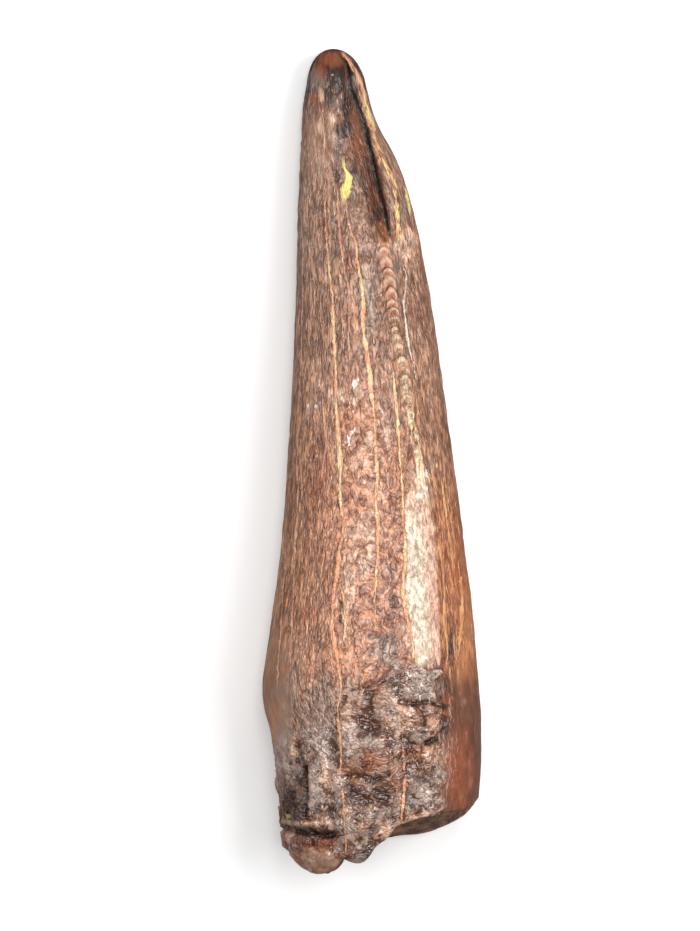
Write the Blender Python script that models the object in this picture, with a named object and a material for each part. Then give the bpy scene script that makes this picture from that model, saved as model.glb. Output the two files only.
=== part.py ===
"""Fossil tooth of a small tyrannosaur, lying on its side with the crusted root end broken off.

Units are metres and +Z is up. The tooth lies along Y with its tip towards +Y. The origin is on the
surface it rests on, under the middle of the tooth. The side that is seen from above has the front
cutting edge with its row of small serrations right of the middle, a long chip below the tip, and a
crust of old sediment over the root end.
"""
import math

import bmesh
import bpy
import numpy as np

MM = 0.001
NAME = "fossil nanotyrannus tooth"

# Driving dimensions.
LENGTH = 31.0 * MM
WIDTH = 8.2 * MM
THICKNESS = 6.1 * MM
TIP_DOME = 1.3 * MM
SERRATION_PITCH = 0.365 * MM
BACK_SERRATION_PITCH = 0.42 * MM

# Mesh density before and after thinning.
COLUMNS = 232
ROWS = 560
TRIANGLES = 9400
SIDE_SHARE = 0.9
TIP_CROWDING = 0.05
LOWER_POWER = 2.1
UPPER_POWER = 2.45

TIP_Y = LENGTH / 2

# Outline seen from above, as (y, x) with the tip at the greatest y.
LEFT_EDGE = np.array([
    (15.5, -2.50), (14.3, -2.46), (13.4, -2.64), (12.0, -2.74), (9.5, -2.82), (7.5, -2.84), (1.5, -3.08),
    (-3.7, -3.47), (-6.7, -3.87), (-9.0, -4.10), (-10.5, -3.72), (-12.0, -3.41), (-13.5, -3.38),
    (-15.5, -3.25),
]) * MM
RIGHT_EDGE = np.array([
    (15.5, -0.42), (14.3, -0.26), (12.8, 0.15), (11.3, 0.90), (9.8, 1.43), (6.8, 2.07), (2.3, 2.74),
    (-2.2, 3.35), (-6.7, 3.87), (-11.3, 4.10), (-13.0, 3.98), (-15.5, 3.85),
]) * MM

# Height of the upper and lower sides, as (y, z).
TOP = np.array([
    (15.5, 1.72), (12.0, 2.65), (8.0, 3.60), (2.0, 4.75), (-4.0, 5.60), (-9.0, 6.02), (-13.0, 6.05),
    (-15.5, 5.75),
]) * MM
BOTTOM = np.array([
    (15.5, 0.42), (12.0, 0.24), (8.0, 0.10), (2.5, -0.03), (-4.0, -0.07), (-9.5, -0.02), (-12.0, 0.12),
    (-15.5, 0.40),
]) * MM

# Broken root end, as (x, y): the rim on the upper side, then on the lower side.
UPPER_BREAK = np.array([
    (-3.50, -13.60), (-3.20, -14.40), (-2.80, -15.02), (-1.90, -15.50), (-1.42, -15.25), (-1.16, -14.92),
    (-0.90, -15.02), (-0.35, -15.05), (-0.08, -14.80), (0.10, -14.50), (0.45, -14.25), (0.90, -13.75),
    (1.50, -13.45), (2.30, -13.30), (2.90, -13.15), (3.30, -13.08), (3.70, -12.90), (4.05, -12.50),
]) * MM
LOWER_BREAK = np.array([
    (-3.50, -13.60), (-2.20, -14.50), (-0.90, -14.00), (0.60, -14.20), (1.10, -14.12), (1.90, -14.05),
    (2.50, -13.85), (3.05, -13.60), (3.55, -13.25), (4.00, -12.60),
]) * MM
BREAK_MIDDLE = -13.80 * MM
BREAK_TILT = 0.16
BREAK_BLEND = 0.55
BREAK_CENTRE_X = 0.2 * MM
BREAK_INWARD_POWER = 0.9

# Front cutting edge, as (y, x), then the height of its keel, as (y, height).
FRONT_EDGE = np.array([
    (13.5, 0.00), (9.5, 0.30), (8.1, 0.42), (6.6, 0.65), (5.4, 0.80), (4.4, 0.95), (3.6, 1.14), (2.6, 1.28),
    (1.6, 1.43), (0.6, 1.63), (-0.4, 1.78), (-1.5, 2.00), (-3.0, 2.22), (-6.0, 2.41), (-8.0, 2.48),
    (-15.5, 2.50),
]) * MM
FRONT_KEEL = np.array([
    (13.0, 0.00), (8.6, 0.00), (8.0, 0.17), (4.0, 0.19), (1.0, 0.16), (-1.5, 0.11), (-8.0, 0.10),
    (-10.5, 0.00),
]) * MM
SERRATED = (8.15 * MM, -0.9 * MM)
KEEL_WIDTH = 0.21 * MM
WORN_KEEL_WIDTH = 0.80 * MM
WORN_FROM = (0.5 * MM, -2.5 * MM)
SERRATION_CUT = 0.75
WORN_SERRATION_CUT = 0.40
SERRATION_JITTER = 0.05 * MM
SERRATION_BOW = 1.9 / MM

# Back cutting edge, low on the far side: its angle in degrees, then its keel.
BACK_EDGE = [(15.5 * MM, 214.0), (8.0 * MM, 211.0), (-15.5 * MM, 214.0)]
BACK_KEEL = np.array([(14.6, 0.00), (13.4, 0.13), (6.0, 0.22), (-7.0, 0.20), (-9.5, 0.00)]) * MM
BACK_SERRATED = (13.9 * MM, -7.6 * MM)

# Long chip beside the tip, as (y, x) for its blended and its stepped side, and its depth.
CHIP_SOFT_SIDE = np.array([
    (15.4, -1.60), (14.7, -1.28), (13.0, -1.28), (12.0, -1.13), (11.3, -0.90), (10.4, -0.71), (9.4, -0.45),
    (8.6, -0.15), (8.2, 0.30),
]) * MM
CHIP_STEP_SIDE = np.array([
    (15.4, -1.32), (15.05, -1.02), (14.0, -0.72), (13.2, -0.38), (12.45, -0.10), (11.9, 0.00), (11.2, 0.20),
    (10.5, 0.34), (9.7, 0.50), (9.0, 0.62), (8.5, 0.68),
]) * MM
CHIP_RIM = np.array([
    (15.4, -1.15), (14.9, -0.80), (14.1, -0.42), (13.5, -0.27), (12.8, -0.05), (11.7, 0.24), (10.4, 0.74),
    (9.6, 0.86), (8.6, 0.96),
]) * MM
CHIP_DEPTH = np.array([
    (15.5, 0.00), (15.2, 0.10), (14.0, 0.20), (12.0, 0.28), (9.6, 0.26), (8.6, 0.12), (8.1, 0.00),
]) * MM
CHIP_STEP = 0.08 * MM
CHIP_RIM_HEIGHT = 0.06 * MM
CHIP_RIM_WIDTH = 0.13 * MM

# Crust on the root end: its upper limit, as (x, y), how softly it ends there, as (x, run), and the x of its
# ragged side.
CRUST_TOP = np.array([
    (-4.0, -10.2), (-2.7, -9.3), (-1.3, -8.8), (-1.1, -8.5), (-0.4, -8.1), (0.3, -7.9), (0.8, -7.5),
    (1.4, -7.25), (1.8, -7.62), (2.55, -7.95), (3.0, -8.6),
]) * MM
CRUST_TOP_SOFT = np.array([
    (-4.0, 1.8), (-1.3, 1.6), (-1.0, 0.5), (0.4, 0.7), (1.0, 0.3), (1.5, 0.15), (3.0, 0.15),
]) * MM
CRUST_SIDE = np.array([
    (-7.6, 2.75), (-8.1, 2.60), (-8.9, 2.30), (-9.4, 2.62), (-10.4, 2.62), (-11.5, 2.55), (-12.9, 2.75),
]) * MM
CRUST_THICKNESS = 0.16 * MM
LOWER_CRUST = 0.6
CRUST_EDGE = 0.10 * MM

# Pits and lumps in the crust: x, y, half width, half length, height.
CRUST_FORMS = np.array([
    (1.95, -8.14, 0.70, 0.80, 0.10), (1.32, -9.40, 0.36, 0.30, 0.16), (1.70, -9.88, 0.34, 0.30, 0.12),
    (2.40, -9.94, 0.30, 0.60, 0.10), (2.20, -10.88, 0.50, 0.45, 0.14), (1.35, -10.60, 0.30, 0.40, -0.12),
    (2.00, -12.40, 0.75, 0.60, 0.18), (-0.20, -9.75, 0.42, 0.78, -0.22), (-0.25, -11.05, 0.74, 0.62, 0.14),
    (-1.90, -11.80, 0.40, 0.95, 0.14), (-1.20, -11.95, 0.26, 0.60, 0.10), (-2.80, -12.95, 0.34, 0.44, 0.10),
    (-1.80, -13.05, 0.30, 0.20, -0.14), (-2.00, -14.98, 0.90, 0.46, 0.20), (-0.52, -14.80, 0.40, 0.30, 0.20),
    (0.30, -12.57, 0.60, 0.45, -0.14), (0.40, -13.90, 0.34, 0.40, 0.18), (1.30, -12.95, 0.40, 0.36, 0.14),
    (-0.70, -13.10, 0.36, 0.30, 0.10), (2.85, -8.60, 0.22, 0.55, -0.16),
]) * MM

# Grooves and ridges across the crust: height, half width, then points as (x, y).
CRUST_LINES = [
    (-0.24, 0.13, [(-1.13, -9.15), (-1.02, -8.80), (-0.80, -8.60), (-0.50, -8.48), (-0.28, -8.56),
                   (-0.08, -8.80)]),
    (0.14, 0.08, [(-0.98, -9.25), (-0.75, -8.95), (-0.48, -8.68)]),
    (0.12, 0.07, [(-0.56, -9.30), (-0.42, -8.92), (-0.38, -8.70)]),
    (0.10, 0.09, [(-0.22, -8.40), (0.02, -8.64), (0.20, -9.00), (0.30, -9.45), (0.45, -9.85)]),
    (0.10, 0.08, [(-0.75, -10.30), (-0.50, -10.15), (-0.25, -10.35), (0.00, -10.60), (0.24, -10.45)]),
    (-0.14, 0.10, [(-0.95, -11.85), (-0.40, -11.80), (0.10, -11.95), (0.60, -11.75)]),
    (-0.20, 0.09, [(1.05, -9.05), (1.45, -9.14), (1.90, -9.06), (2.40, -9.16), (2.86, -9.28)]),
    (-0.16, 0.08, [(1.40, -9.50), (1.55, -9.85), (1.85, -9.92), (1.98, -9.62)]),
    (-0.22, 0.10, [(2.00, -10.58), (2.33, -10.38), (2.56, -10.05), (2.72, -9.60)]),
    (0.12, 0.08, [(1.95, -10.35), (2.26, -9.85), (2.44, -9.32)]),
    (-0.12, 0.08, [(1.05, -10.32), (1.43, -10.58), (1.80, -10.70)]),
    (-0.18, 0.13, [(-2.82, -10.60), (-2.63, -11.15), (-2.44, -11.64), (-2.33, -12.20), (-2.37, -12.65)]),
    (0.14, 0.08, [(-2.97, -10.60), (-2.82, -11.15)]),
    (0.14, 0.08, [(-2.67, -11.07), (-2.56, -11.41)]),
    (0.10, 0.10, [(-3.24, -13.57), (-2.60, -13.62), (-1.95, -13.60), (-1.30, -13.50)]),
    (0.08, 0.07, [(-2.78, -14.45), (-2.40, -14.55), (-1.95, -14.50), (-1.30, -14.80)]),
    (-0.16, 0.09, [(1.24, -12.20), (1.50, -12.60), (1.80, -12.95)]),
    (0.16, 0.08, [(0.94, -13.55), (1.25, -13.58), (1.70, -13.36), (2.26, -13.16), (2.60, -12.98)]),
    (-0.12, 0.07, [(1.17, -10.70), (1.20, -11.40), (1.22, -11.90), (1.15, -12.60), (1.10, -13.40)]),
    (0.12, 0.09, [(0.25, -13.30), (0.50, -13.75), (0.65, -14.10)]),
    (-0.16, 0.09, [(-0.30, -12.60), (0.05, -13.00), (0.10, -13.50), (-0.10, -14.20)]),
]
CRACK_LEDGE = np.array([(-4.0, -13.80), (-2.2, -13.95), (-0.9, -14.05), (0.6, -14.30)]) * MM
CRACK_LEDGE_END = -0.75 * MM
CRACK_LEDGE_DEPTH = 0.26 * MM
CRACK_LEDGE_WIDTH = 0.13 * MM

LUMP_SIZES = ((1.10 * MM, 0.11 * MM), (0.46 * MM, 0.08 * MM))
BREAK_SIZES = ((1.30 * MM, 0.24 * MM), (0.50 * MM, 0.11 * MM))
LATTICE = 48


def clear_scene():
    for thing in list(bpy.data.objects):
        bpy.data.objects.remove(thing)


def through(points, at):
    """Value at each place of a smooth curve through a few (place, value) points."""
    knots, values = np.array(sorted(map(tuple, points))).T
    slopes = np.gradient(values, knots)
    left = np.clip(np.searchsorted(knots, at) - 1, 0, len(knots) - 2)
    span = knots[left + 1] - knots[left]
    t = np.clip((at - knots[left]) / span, 0, 1)
    start = (1 + 2 * t) * (1 - t) ** 2 * values[left] + t * (1 - t) ** 2 * span * slopes[left]
    end = t * t * (3 - 2 * t) * values[left + 1] + t * t * (t - 1) * span * slopes[left + 1]
    return start + end


def ease(low, high, at):
    """0 below low, 1 above high, and smooth between."""
    t = np.clip((at - low) / (high - low), 0, 1)
    return t * t * (3 - 2 * t)


def bell(at):
    return np.exp(-at * at)


def lumps(points, size, seed):
    """Smooth seeded noise from -1 to 1 over points, with hills about one size across."""
    heights = np.random.default_rng(seed).uniform(-1, 1, (LATTICE,) * 3)
    cell = np.floor(points / size).astype(int)
    part = points / size - cell
    part = part * part * (3 - 2 * part)
    total = np.zeros(len(points))
    for corner in np.ndindex(2, 2, 2):
        weight = np.prod(np.where(corner, part, 1 - part), axis=1)
        i, j, k = ((cell + corner) % LATTICE).T
        total += weight * heights[i, j, k]
    return total


def layered(points, layers, seed):
    """Sum of noise layers, each with its hill size and height."""
    return sum(height * lumps(points, size, seed + i) for i, (size, height) in enumerate(layers))


def near_line(x, y, line):
    """Distance of each point from a line through a few (x, y) points in millimetres."""
    points = np.array(line) * MM
    nearest = np.full(len(x), 1.0)
    for (ax, ay), (bx, by) in zip(points, points[1:]):
        run_x, run_y = bx - ax, by - ay
        share = np.clip(((x - ax) * run_x + (y - ay) * run_y) / (run_x ** 2 + run_y ** 2), 0, 1)
        nearest = np.minimum(nearest, np.hypot(x - ax - share * run_x, y - ay - share * run_y))
    return nearest


def signed_power(value, power):
    return np.sign(value) * np.abs(value) ** power


def section(angle, y):
    """Plain rounded section at y: x and z at each angle, and the outward direction there."""
    left, right = through(LEFT_EDGE, y), through(RIGHT_EDGE, y)
    top, bottom = through(TOP, y), through(BOTTOM, y)
    from_tip = np.clip((TIP_Y - y) / TIP_DOME, 0, 1)
    dome = np.sqrt(np.clip(1 - (1 - from_tip) ** 2, 0, 1))
    half_width, half_height = (right - left) / 2 * dome, (top - bottom) / 2 * dome
    power = 2 / (LOWER_POWER + (UPPER_POWER - LOWER_POWER) * ease(0, 0.6, np.sin(angle)))
    x = (left + right) / 2 + half_width * signed_power(np.cos(angle), power)
    z = (top + bottom) / 2 + half_height * signed_power(np.sin(angle), power)
    across = np.cos(angle) * (top - bottom)
    up = np.sin(angle) * (right - left)
    length = np.hypot(across, up)
    return x, z, across / length, up / length


def bead_count(across, y, pitch):
    """Number of beads up to each point: arched and highest towards the tip, and not quite even."""
    jitter = SERRATION_JITTER * (np.sin(y / (0.43 * MM)) + np.sin(y / (0.19 * MM) + 1))
    return (y + jitter + SERRATION_BOW * across ** 2) / pitch


def serrations(across, y, pitch, limits, worn):
    """Share of the keel's height left at each point by the cuts between the beads."""
    phase = bead_count(across, y, pitch) % 1
    bead = ease(-0.1, 0.6, phase) * (1 - ease(0.72, 0.92, phase))
    row = ease(limits[1], limits[1] + pitch, y) * ease(-limits[0], pitch - limits[0], -y)
    return 1 - (SERRATION_CUT + (WORN_SERRATION_CUT - SERRATION_CUT) * worn) * row * (1 - bead)


def front_edge(x, y, upper):
    """Keel with its serrations, worn low and broad further down, and the hollowed flanks beside it."""
    across = x - through(FRONT_EDGE, y)
    height = through(FRONT_KEEL, y)
    worn = ease(*WORN_FROM, y)
    near_width = KEEL_WIDTH + (WORN_KEEL_WIDTH - KEEL_WIDTH) * worn
    keel = height * bell(across / np.where(across < 0, near_width, KEEL_WIDTH))
    keel = keel * serrations(across, y, SERRATION_PITCH, SERRATED, ease(-3.5 * MM, -1.5 * MM, -y))
    far_hollow = 0.5 * height * bell((across - 3.0 * KEEL_WIDTH) / (1.9 * KEEL_WIDTH))
    near_hollow = 0.22 * height * bell((across + 2.8 * KEEL_WIDTH) / (1.8 * KEEL_WIDTH)) * (1 - worn)
    return upper * (keel - far_hollow - near_hollow)


def back_across(angle, y):
    """Distance round the section from the back cutting edge."""
    radius = 0.25 * (through(RIGHT_EDGE, y) - through(LEFT_EDGE, y) + through(TOP, y) - through(BOTTOM, y))
    turn = angle - np.radians(through(BACK_EDGE, y))
    return ((turn + math.pi) % (2 * math.pi) - math.pi) * radius


def back_edge(angle, y):
    across = back_across(angle, y)
    height = through(BACK_KEEL, y)
    keel = height * bell(across / KEEL_WIDTH) * serrations(across, y, BACK_SERRATION_PITCH, BACK_SERRATED, 0)
    hollow = 0.4 * height * (bell((across - 0.7 * MM) / (0.4 * MM)) + bell((across + 0.7 * MM) / (0.4 * MM)))
    return keel - hollow


def tip_chip(x, y, upper):
    """Flake lost beside the tip: it deepens to a sharp step on its far side."""
    soft, step = through(CHIP_SOFT_SIDE, y), through(CHIP_STEP_SIDE, y)
    run = np.clip((x - soft) / (step - soft), 0, None)
    floor = ease(-0.25, 1.05, run)
    wall = 1 - ease(0, CHIP_STEP, x - step)
    depth = through(CHIP_DEPTH, y)
    rim = CHIP_RIM_HEIGHT * bell((x - through(CHIP_RIM, y)) / CHIP_RIM_WIDTH) * ease(0, 0.2 * MM, depth)
    return upper * (rim - depth * floor * wall)


def crust_cover(x, y, upper):
    """1 where the crust lies and 0 off it: a ragged border above, and a bare flank at the far side."""
    ragged = 0.10 * MM * np.sin(x / (0.34 * MM)) + 0.05 * MM * np.sin(x / (0.13 * MM) + 1)
    below = ease(0, 1, (through(CRUST_TOP, x) + ragged - y) / np.interp(x, *CRUST_TOP_SOFT.T))
    waves = 0.10 * np.sin(y / (0.16 * MM)) + 0.14 * np.sin(y / (0.37 * MM) + 2)
    side = through(CRUST_SIDE, y) + waves * MM
    inside = 1 - ease(-CRUST_EDGE, 0, x - side)
    return below * (upper * inside + (1 - upper) * ease(-3.4 * MM, -2.2 * MM, -x))


def root_crust(points, x, y, upper):
    """Crust with its lumps, pits, grooves and ridges, and the long crack under its lower ledge."""
    cover = crust_cover(x, y, upper)
    rough = layered(points, LUMP_SIZES, 11)
    forms = 0
    for place_x, place_y, half_x, half_y, height in CRUST_FORMS:
        far = ((x - place_x) / half_x) ** 2 + ((y - place_y) / half_y) ** 2
        forms = forms + height * np.exp(-far ** 1.5)
    for height, half_width, line in CRUST_LINES:
        forms = forms + height * MM * bell(near_line(x, y, line) / (half_width * MM))
    wave = 0.05 * MM * np.sin(x / (0.16 * MM)) + 0.05 * MM * np.sin(x / (0.41 * MM))
    ledge = bell((y + wave - through(CRACK_LEDGE, x)) / CRACK_LEDGE_WIDTH)
    ledge = ledge * (1 - ease(CRACK_LEDGE_END - MM, CRACK_LEDGE_END, x))
    thickness = CRUST_THICKNESS * (LOWER_CRUST + (1 - LOWER_CRUST) * upper)
    return cover * (thickness + rough + upper * forms) - upper * CRACK_LEDGE_DEPTH * ledge


def shape_tooth(angle, side, cap):
    """Places of all vertices, from the angle round the tooth and the way from the tip to the rim.

    side runs from 0 at the tip to 1 at the broken rim, and cap from 0 at the rim to 1 at the middle
    of the break.
    """
    upper = ease(-0.25, 0.25, np.sin(angle))
    rim_x = section(angle, np.full(len(angle), UPPER_BREAK[0, 1]))[0]
    rim_y = upper * through(UPPER_BREAK, rim_x) + (1 - upper) * through(LOWER_BREAK, rim_x)
    crowded = np.sqrt(side ** 2 + TIP_CROWDING ** 2) - TIP_CROWDING
    run = crowded / (math.sqrt(1 + TIP_CROWDING ** 2) - TIP_CROWDING)
    y = TIP_Y - (TIP_Y - rim_y) * run
    x, z, out_x, out_z = section(angle, y)
    skin = np.column_stack((x, y, z))
    raised = front_edge(x, y, upper) + back_edge(angle, y) + tip_chip(x, y, upper)
    raised = raised + root_crust(skin, x, y, upper)
    x, z = x + out_x * raised, z + out_z * raised
    inward = cap ** BREAK_INWARD_POWER
    x, z = x + (BREAK_CENTRE_X - x) * inward, z + (THICKNESS / 2 - z) * inward
    rough = layered(np.column_stack((x, y, z)), BREAK_SIZES, 31) * ease(0, 0.3, cap)
    y = y + (BREAK_MIDDLE + BREAK_TILT * x - y) * ease(0, BREAK_BLEND, cap) + rough
    return np.column_stack((x, y, z))


ENAMEL_COLOUR = (0.27, 0.13, 0.075, 1)
ENAMEL_ROUGHNESS = 0.34


def tooth_material():
    material = bpy.data.materials.new("fossil enamel")
    material.use_nodes = True
    shader = material.node_tree.nodes["Principled BSDF"]
    shader.inputs["Base Color"].default_value = ENAMEL_COLOUR
    shader.inputs["Roughness"].default_value = ENAMEL_ROUGHNESS
    shader.inputs["Metallic"].default_value = 0.0
    return material


def make_tooth(collection):
    """A sphere's vertices moved to the tooth's form, with the poles at the tip and inside the break."""
    ball = bmesh.new()
    bmesh.ops.create_uvsphere(ball, u_segments=COLUMNS, v_segments=ROWS, radius=1)
    mesh = bpy.data.meshes.new("tooth")
    ball.to_mesh(mesh)
    ball.free()
    places = np.empty(len(mesh.vertices) * 3)
    mesh.vertices.foreach_get("co", places)
    places = places.reshape(-1, 3)
    angle = np.arctan2(-places[:, 1], places[:, 0])
    way = np.arccos(np.clip(places[:, 2], -1, 1)) / math.pi
    side = np.clip(way / SIDE_SHARE, 0, 1)
    cap = np.clip((way - SIDE_SHARE) / (1 - SIDE_SHARE), 0, 1)
    mesh.vertices.foreach_set("co", shape_tooth(angle, side, cap).ravel())
    mesh.update()
    mesh.shade_smooth()
    mesh.materials.append(tooth_material())
    tooth = bpy.data.objects.new("tooth", mesh)
    collection.objects.link(tooth)
    return tooth


def make_rest_cutter(collection):
    """Block whose top is the surface the tooth rests on."""
    height = 4 * MM
    block = bmesh.new()
    bmesh.ops.create_cube(block, size=1)
    bmesh.ops.scale(block, vec=(2 * WIDTH, 1.5 * LENGTH, height), verts=block.verts)
    bmesh.ops.translate(block, vec=(0, 0, -height / 2), verts=block.verts)
    mesh = bpy.data.meshes.new("rest cutter")
    block.to_mesh(mesh)
    block.free()
    cutter = bpy.data.objects.new("rest cutter", mesh)
    cutter.hide_render = True
    cutter.display_type = "WIRE"
    collection.objects.link(cutter)
    return cutter


def add_modifiers(tooth, cutter):
    """Thin the mesh where it is smooth, then cut the small flat that the tooth rests on."""
    thin = tooth.modifiers.new("thin out", "DECIMATE")
    thin.decimate_type = "COLLAPSE"
    tooth.data.calc_loop_triangles()
    thin.ratio = TRIANGLES / len(tooth.data.loop_triangles)
    flat = tooth.modifiers.new("rest flat", "BOOLEAN")
    flat.operation = "DIFFERENCE"
    flat.solver = "EXACT"
    flat.object = cutter


def main():
    clear_scene()
    parts = bpy.data.collections.new(NAME)
    cutters = bpy.data.collections.new("cutters")
    for collection in (parts, cutters):
        bpy.context.scene.collection.children.link(collection)
    add_modifiers(make_tooth(parts), make_rest_cutter(cutters))


main()
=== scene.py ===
import math

import bpy
import numpy as np
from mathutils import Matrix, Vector


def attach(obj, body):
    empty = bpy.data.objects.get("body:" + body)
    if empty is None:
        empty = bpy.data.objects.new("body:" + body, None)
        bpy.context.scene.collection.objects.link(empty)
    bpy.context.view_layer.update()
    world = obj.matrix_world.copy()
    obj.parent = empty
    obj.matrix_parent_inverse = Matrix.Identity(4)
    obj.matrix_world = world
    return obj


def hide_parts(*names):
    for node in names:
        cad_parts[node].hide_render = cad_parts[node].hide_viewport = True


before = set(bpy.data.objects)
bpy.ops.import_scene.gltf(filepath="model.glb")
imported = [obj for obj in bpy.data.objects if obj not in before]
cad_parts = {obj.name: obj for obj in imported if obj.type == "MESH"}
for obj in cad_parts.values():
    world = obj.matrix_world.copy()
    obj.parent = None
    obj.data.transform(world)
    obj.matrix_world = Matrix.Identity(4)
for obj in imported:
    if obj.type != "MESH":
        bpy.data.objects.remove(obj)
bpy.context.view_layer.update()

MM = 0.001

# Driving dimensions, the same as the solid's.
LENGTH = 31.0 * MM
THICKNESS = 6.1 * MM
TIP_DOME = 1.3 * MM
SERRATION_PITCH = 0.365 * MM
BACK_SERRATION_PITCH = 0.42 * MM
LOWER_POWER = 2.1
UPPER_POWER = 2.45
TIP_Y = LENGTH / 2

# Mesh density: rings on the tip's dome, on the side and on the break, and points in each ring.
DOME_RINGS = 26
SIDE_RINGS = 470
BREAK_RINGS = 34
COLUMNS = 186

# Outline seen from above, as (y, x) with the tip at the greatest y.
LEFT_EDGE = np.array([
    (15.5, -2.5), (14.3, -2.46), (13.4, -2.64), (12.0, -2.74), (9.5, -2.82), (7.5, -2.84), (1.5, -3.08),
    (-3.7, -3.47), (-6.7, -3.87), (-9.0, -4.1), (-10.5, -3.72), (-12.0, -3.41), (-13.5, -3.38),
    (-15.5, -3.25),
]) * MM
RIGHT_EDGE = np.array([
    (15.5, -0.42), (14.3, -0.26), (12.8, 0.15), (11.3, 0.9), (9.8, 1.43), (6.8, 2.07), (2.3, 2.74),
    (-2.2, 3.35), (-6.7, 3.87), (-11.3, 4.1), (-13.0, 3.98), (-15.5, 3.85),
]) * MM

# Height of the upper and lower sides, as (y, z).
TOP = np.array([
    (15.5, 1.72), (12.0, 2.65), (8.0, 3.6), (2.0, 4.75), (-4.0, 5.6), (-9.0, 6.02), (-13.0, 6.05),
    (-15.5, 5.75),
]) * MM
BOTTOM = np.array([
    (15.5, 0.42), (12.0, 0.24), (8.0, 0.1), (2.5, -0.03), (-4.0, -0.07), (-9.5, -0.02), (-12.0, 0.12),
    (-15.5, 0.4),
]) * MM

# Broken root end, as (x, y): the rim on the upper side, then on the lower side.
UPPER_BREAK = np.array([
    (-3.5, -13.6), (-3.2, -14.4), (-2.8, -15.02), (-1.9, -15.5), (-1.42, -15.25), (-1.16, -14.92),
    (-0.9, -15.02), (-0.35, -15.05), (-0.08, -14.8), (0.1, -14.5), (0.45, -14.25), (0.9, -13.75),
    (1.5, -13.45), (2.3, -13.3), (2.9, -13.15), (3.3, -13.08), (3.7, -12.9), (4.05, -12.5),
]) * MM
LOWER_BREAK = np.array([
    (-3.5, -13.6), (-2.2, -14.5), (-0.9, -14.0), (0.6, -14.2), (1.1, -14.12), (1.9, -14.05),
    (2.5, -13.85), (3.05, -13.6), (3.55, -13.25), (4.0, -12.6),
]) * MM
BREAK_MIDDLE = -13.80 * MM
BREAK_TILT = 0.16
BREAK_BLEND = 0.55
BREAK_CENTRE_X = 0.2 * MM
BREAK_INWARD_POWER = 0.9
BREAK_RIM_FADE = 0.08

# Front cutting edge, as (y, x), then the height of its keel, as (y, height).
FRONT_EDGE = np.array([
    (13.5, 0.0), (9.5, 0.3), (8.1, 0.42), (6.6, 0.65), (5.4, 0.8), (4.4, 0.95), (3.6, 1.14), (2.6, 1.28),
    (1.6, 1.43), (0.6, 1.63), (-0.4, 1.78), (-1.5, 2.0), (-3.0, 2.22), (-6.0, 2.41), (-8.0, 2.48),
    (-15.5, 2.5),
]) * MM
FRONT_KEEL = np.array([
    (13.0, 0.0), (8.6, 0.0), (8.0, 0.17), (4.0, 0.19), (1.0, 0.16), (-1.5, 0.11), (-8.0, 0.1),
    (-10.5, 0.0),
]) * MM
SERRATED = (8.15 * MM, -0.9 * MM)
KEEL_WIDTH = 0.21 * MM
WORN_KEEL_WIDTH = 0.80 * MM
WORN_FROM = (0.5 * MM, -2.5 * MM)
SERRATION_CUT = 0.75
WORN_SERRATION_CUT = 0.40
SERRATION_JITTER = 0.05 * MM
SERRATION_BOW = 1.9 / MM

# Back cutting edge, low on the far side: its angle in degrees, then its keel.
BACK_EDGE = [(15.5 * MM, 214.0), (8.0 * MM, 211.0), (-15.5 * MM, 214.0)]
BACK_KEEL = np.array([(14.6, 0.0), (13.4, 0.13), (6.0, 0.22), (-7.0, 0.2), (-9.5, 0.0)]) * MM
BACK_SERRATED = (13.9 * MM, -7.6 * MM)

# Long chip beside the tip, as (y, x) for its blended and its stepped side and its rim, and its depth.
CHIP_SOFT_SIDE = np.array([
    (15.4, -1.6), (14.7, -1.28), (13.0, -1.28), (12.0, -1.13), (11.3, -0.9), (10.4, -0.71), (9.4, -0.45),
    (8.6, -0.15), (8.2, 0.3),
]) * MM
CHIP_STEP_SIDE = np.array([
    (15.4, -1.32), (15.05, -1.02), (14.0, -0.72), (13.2, -0.38), (12.45, -0.1), (11.9, 0.0), (11.2, 0.2),
    (10.5, 0.34), (9.7, 0.5), (9.0, 0.62), (8.5, 0.68),
]) * MM
CHIP_RIM = np.array([
    (15.4, -1.15), (14.9, -0.8), (14.1, -0.42), (13.5, -0.27), (12.8, -0.05), (11.7, 0.24), (10.4, 0.74),
    (9.6, 0.86), (8.6, 0.96),
]) * MM
CHIP_DEPTH = np.array([
    (15.5, 0.0), (15.2, 0.1), (14.0, 0.2), (12.0, 0.28), (9.6, 0.26), (8.6, 0.12), (8.1, 0.0),
]) * MM
CHIP_STEP = 0.08 * MM
CHIP_RIM_HEIGHT = 0.06 * MM
CHIP_RIM_WIDTH = 0.13 * MM

# Crust on the root end: its upper limit, as (x, y), how softly it ends there, as (x, run), and its ragged
# right side, as (y, x).
CRUST_TOP = np.array([
    (-4.0, -10.2), (-2.7, -9.3), (-1.3, -8.8), (-1.1, -8.5), (-0.4, -8.1), (0.3, -7.9), (0.8, -7.5),
    (1.4, -7.25), (1.8, -7.62), (2.55, -7.95), (3.0, -8.6),
]) * MM
CRUST_TOP_SOFT = np.array([
    (-4.0, 1.8), (-1.3, 1.6), (-1.0, 0.5), (0.4, 0.7), (1.0, 0.3), (1.5, 0.15), (3.0, 0.15),
]) * MM
CRUST_SIDE = np.array([
    (-7.6, 2.75), (-8.1, 2.6), (-8.9, 2.3), (-9.4, 2.62), (-10.4, 2.62), (-11.5, 2.55), (-12.9, 2.75),
]) * MM
CRUST_THICKNESS = 0.16 * MM
LOWER_CRUST = 0.6
CRUST_EDGE = 0.10 * MM

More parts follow.
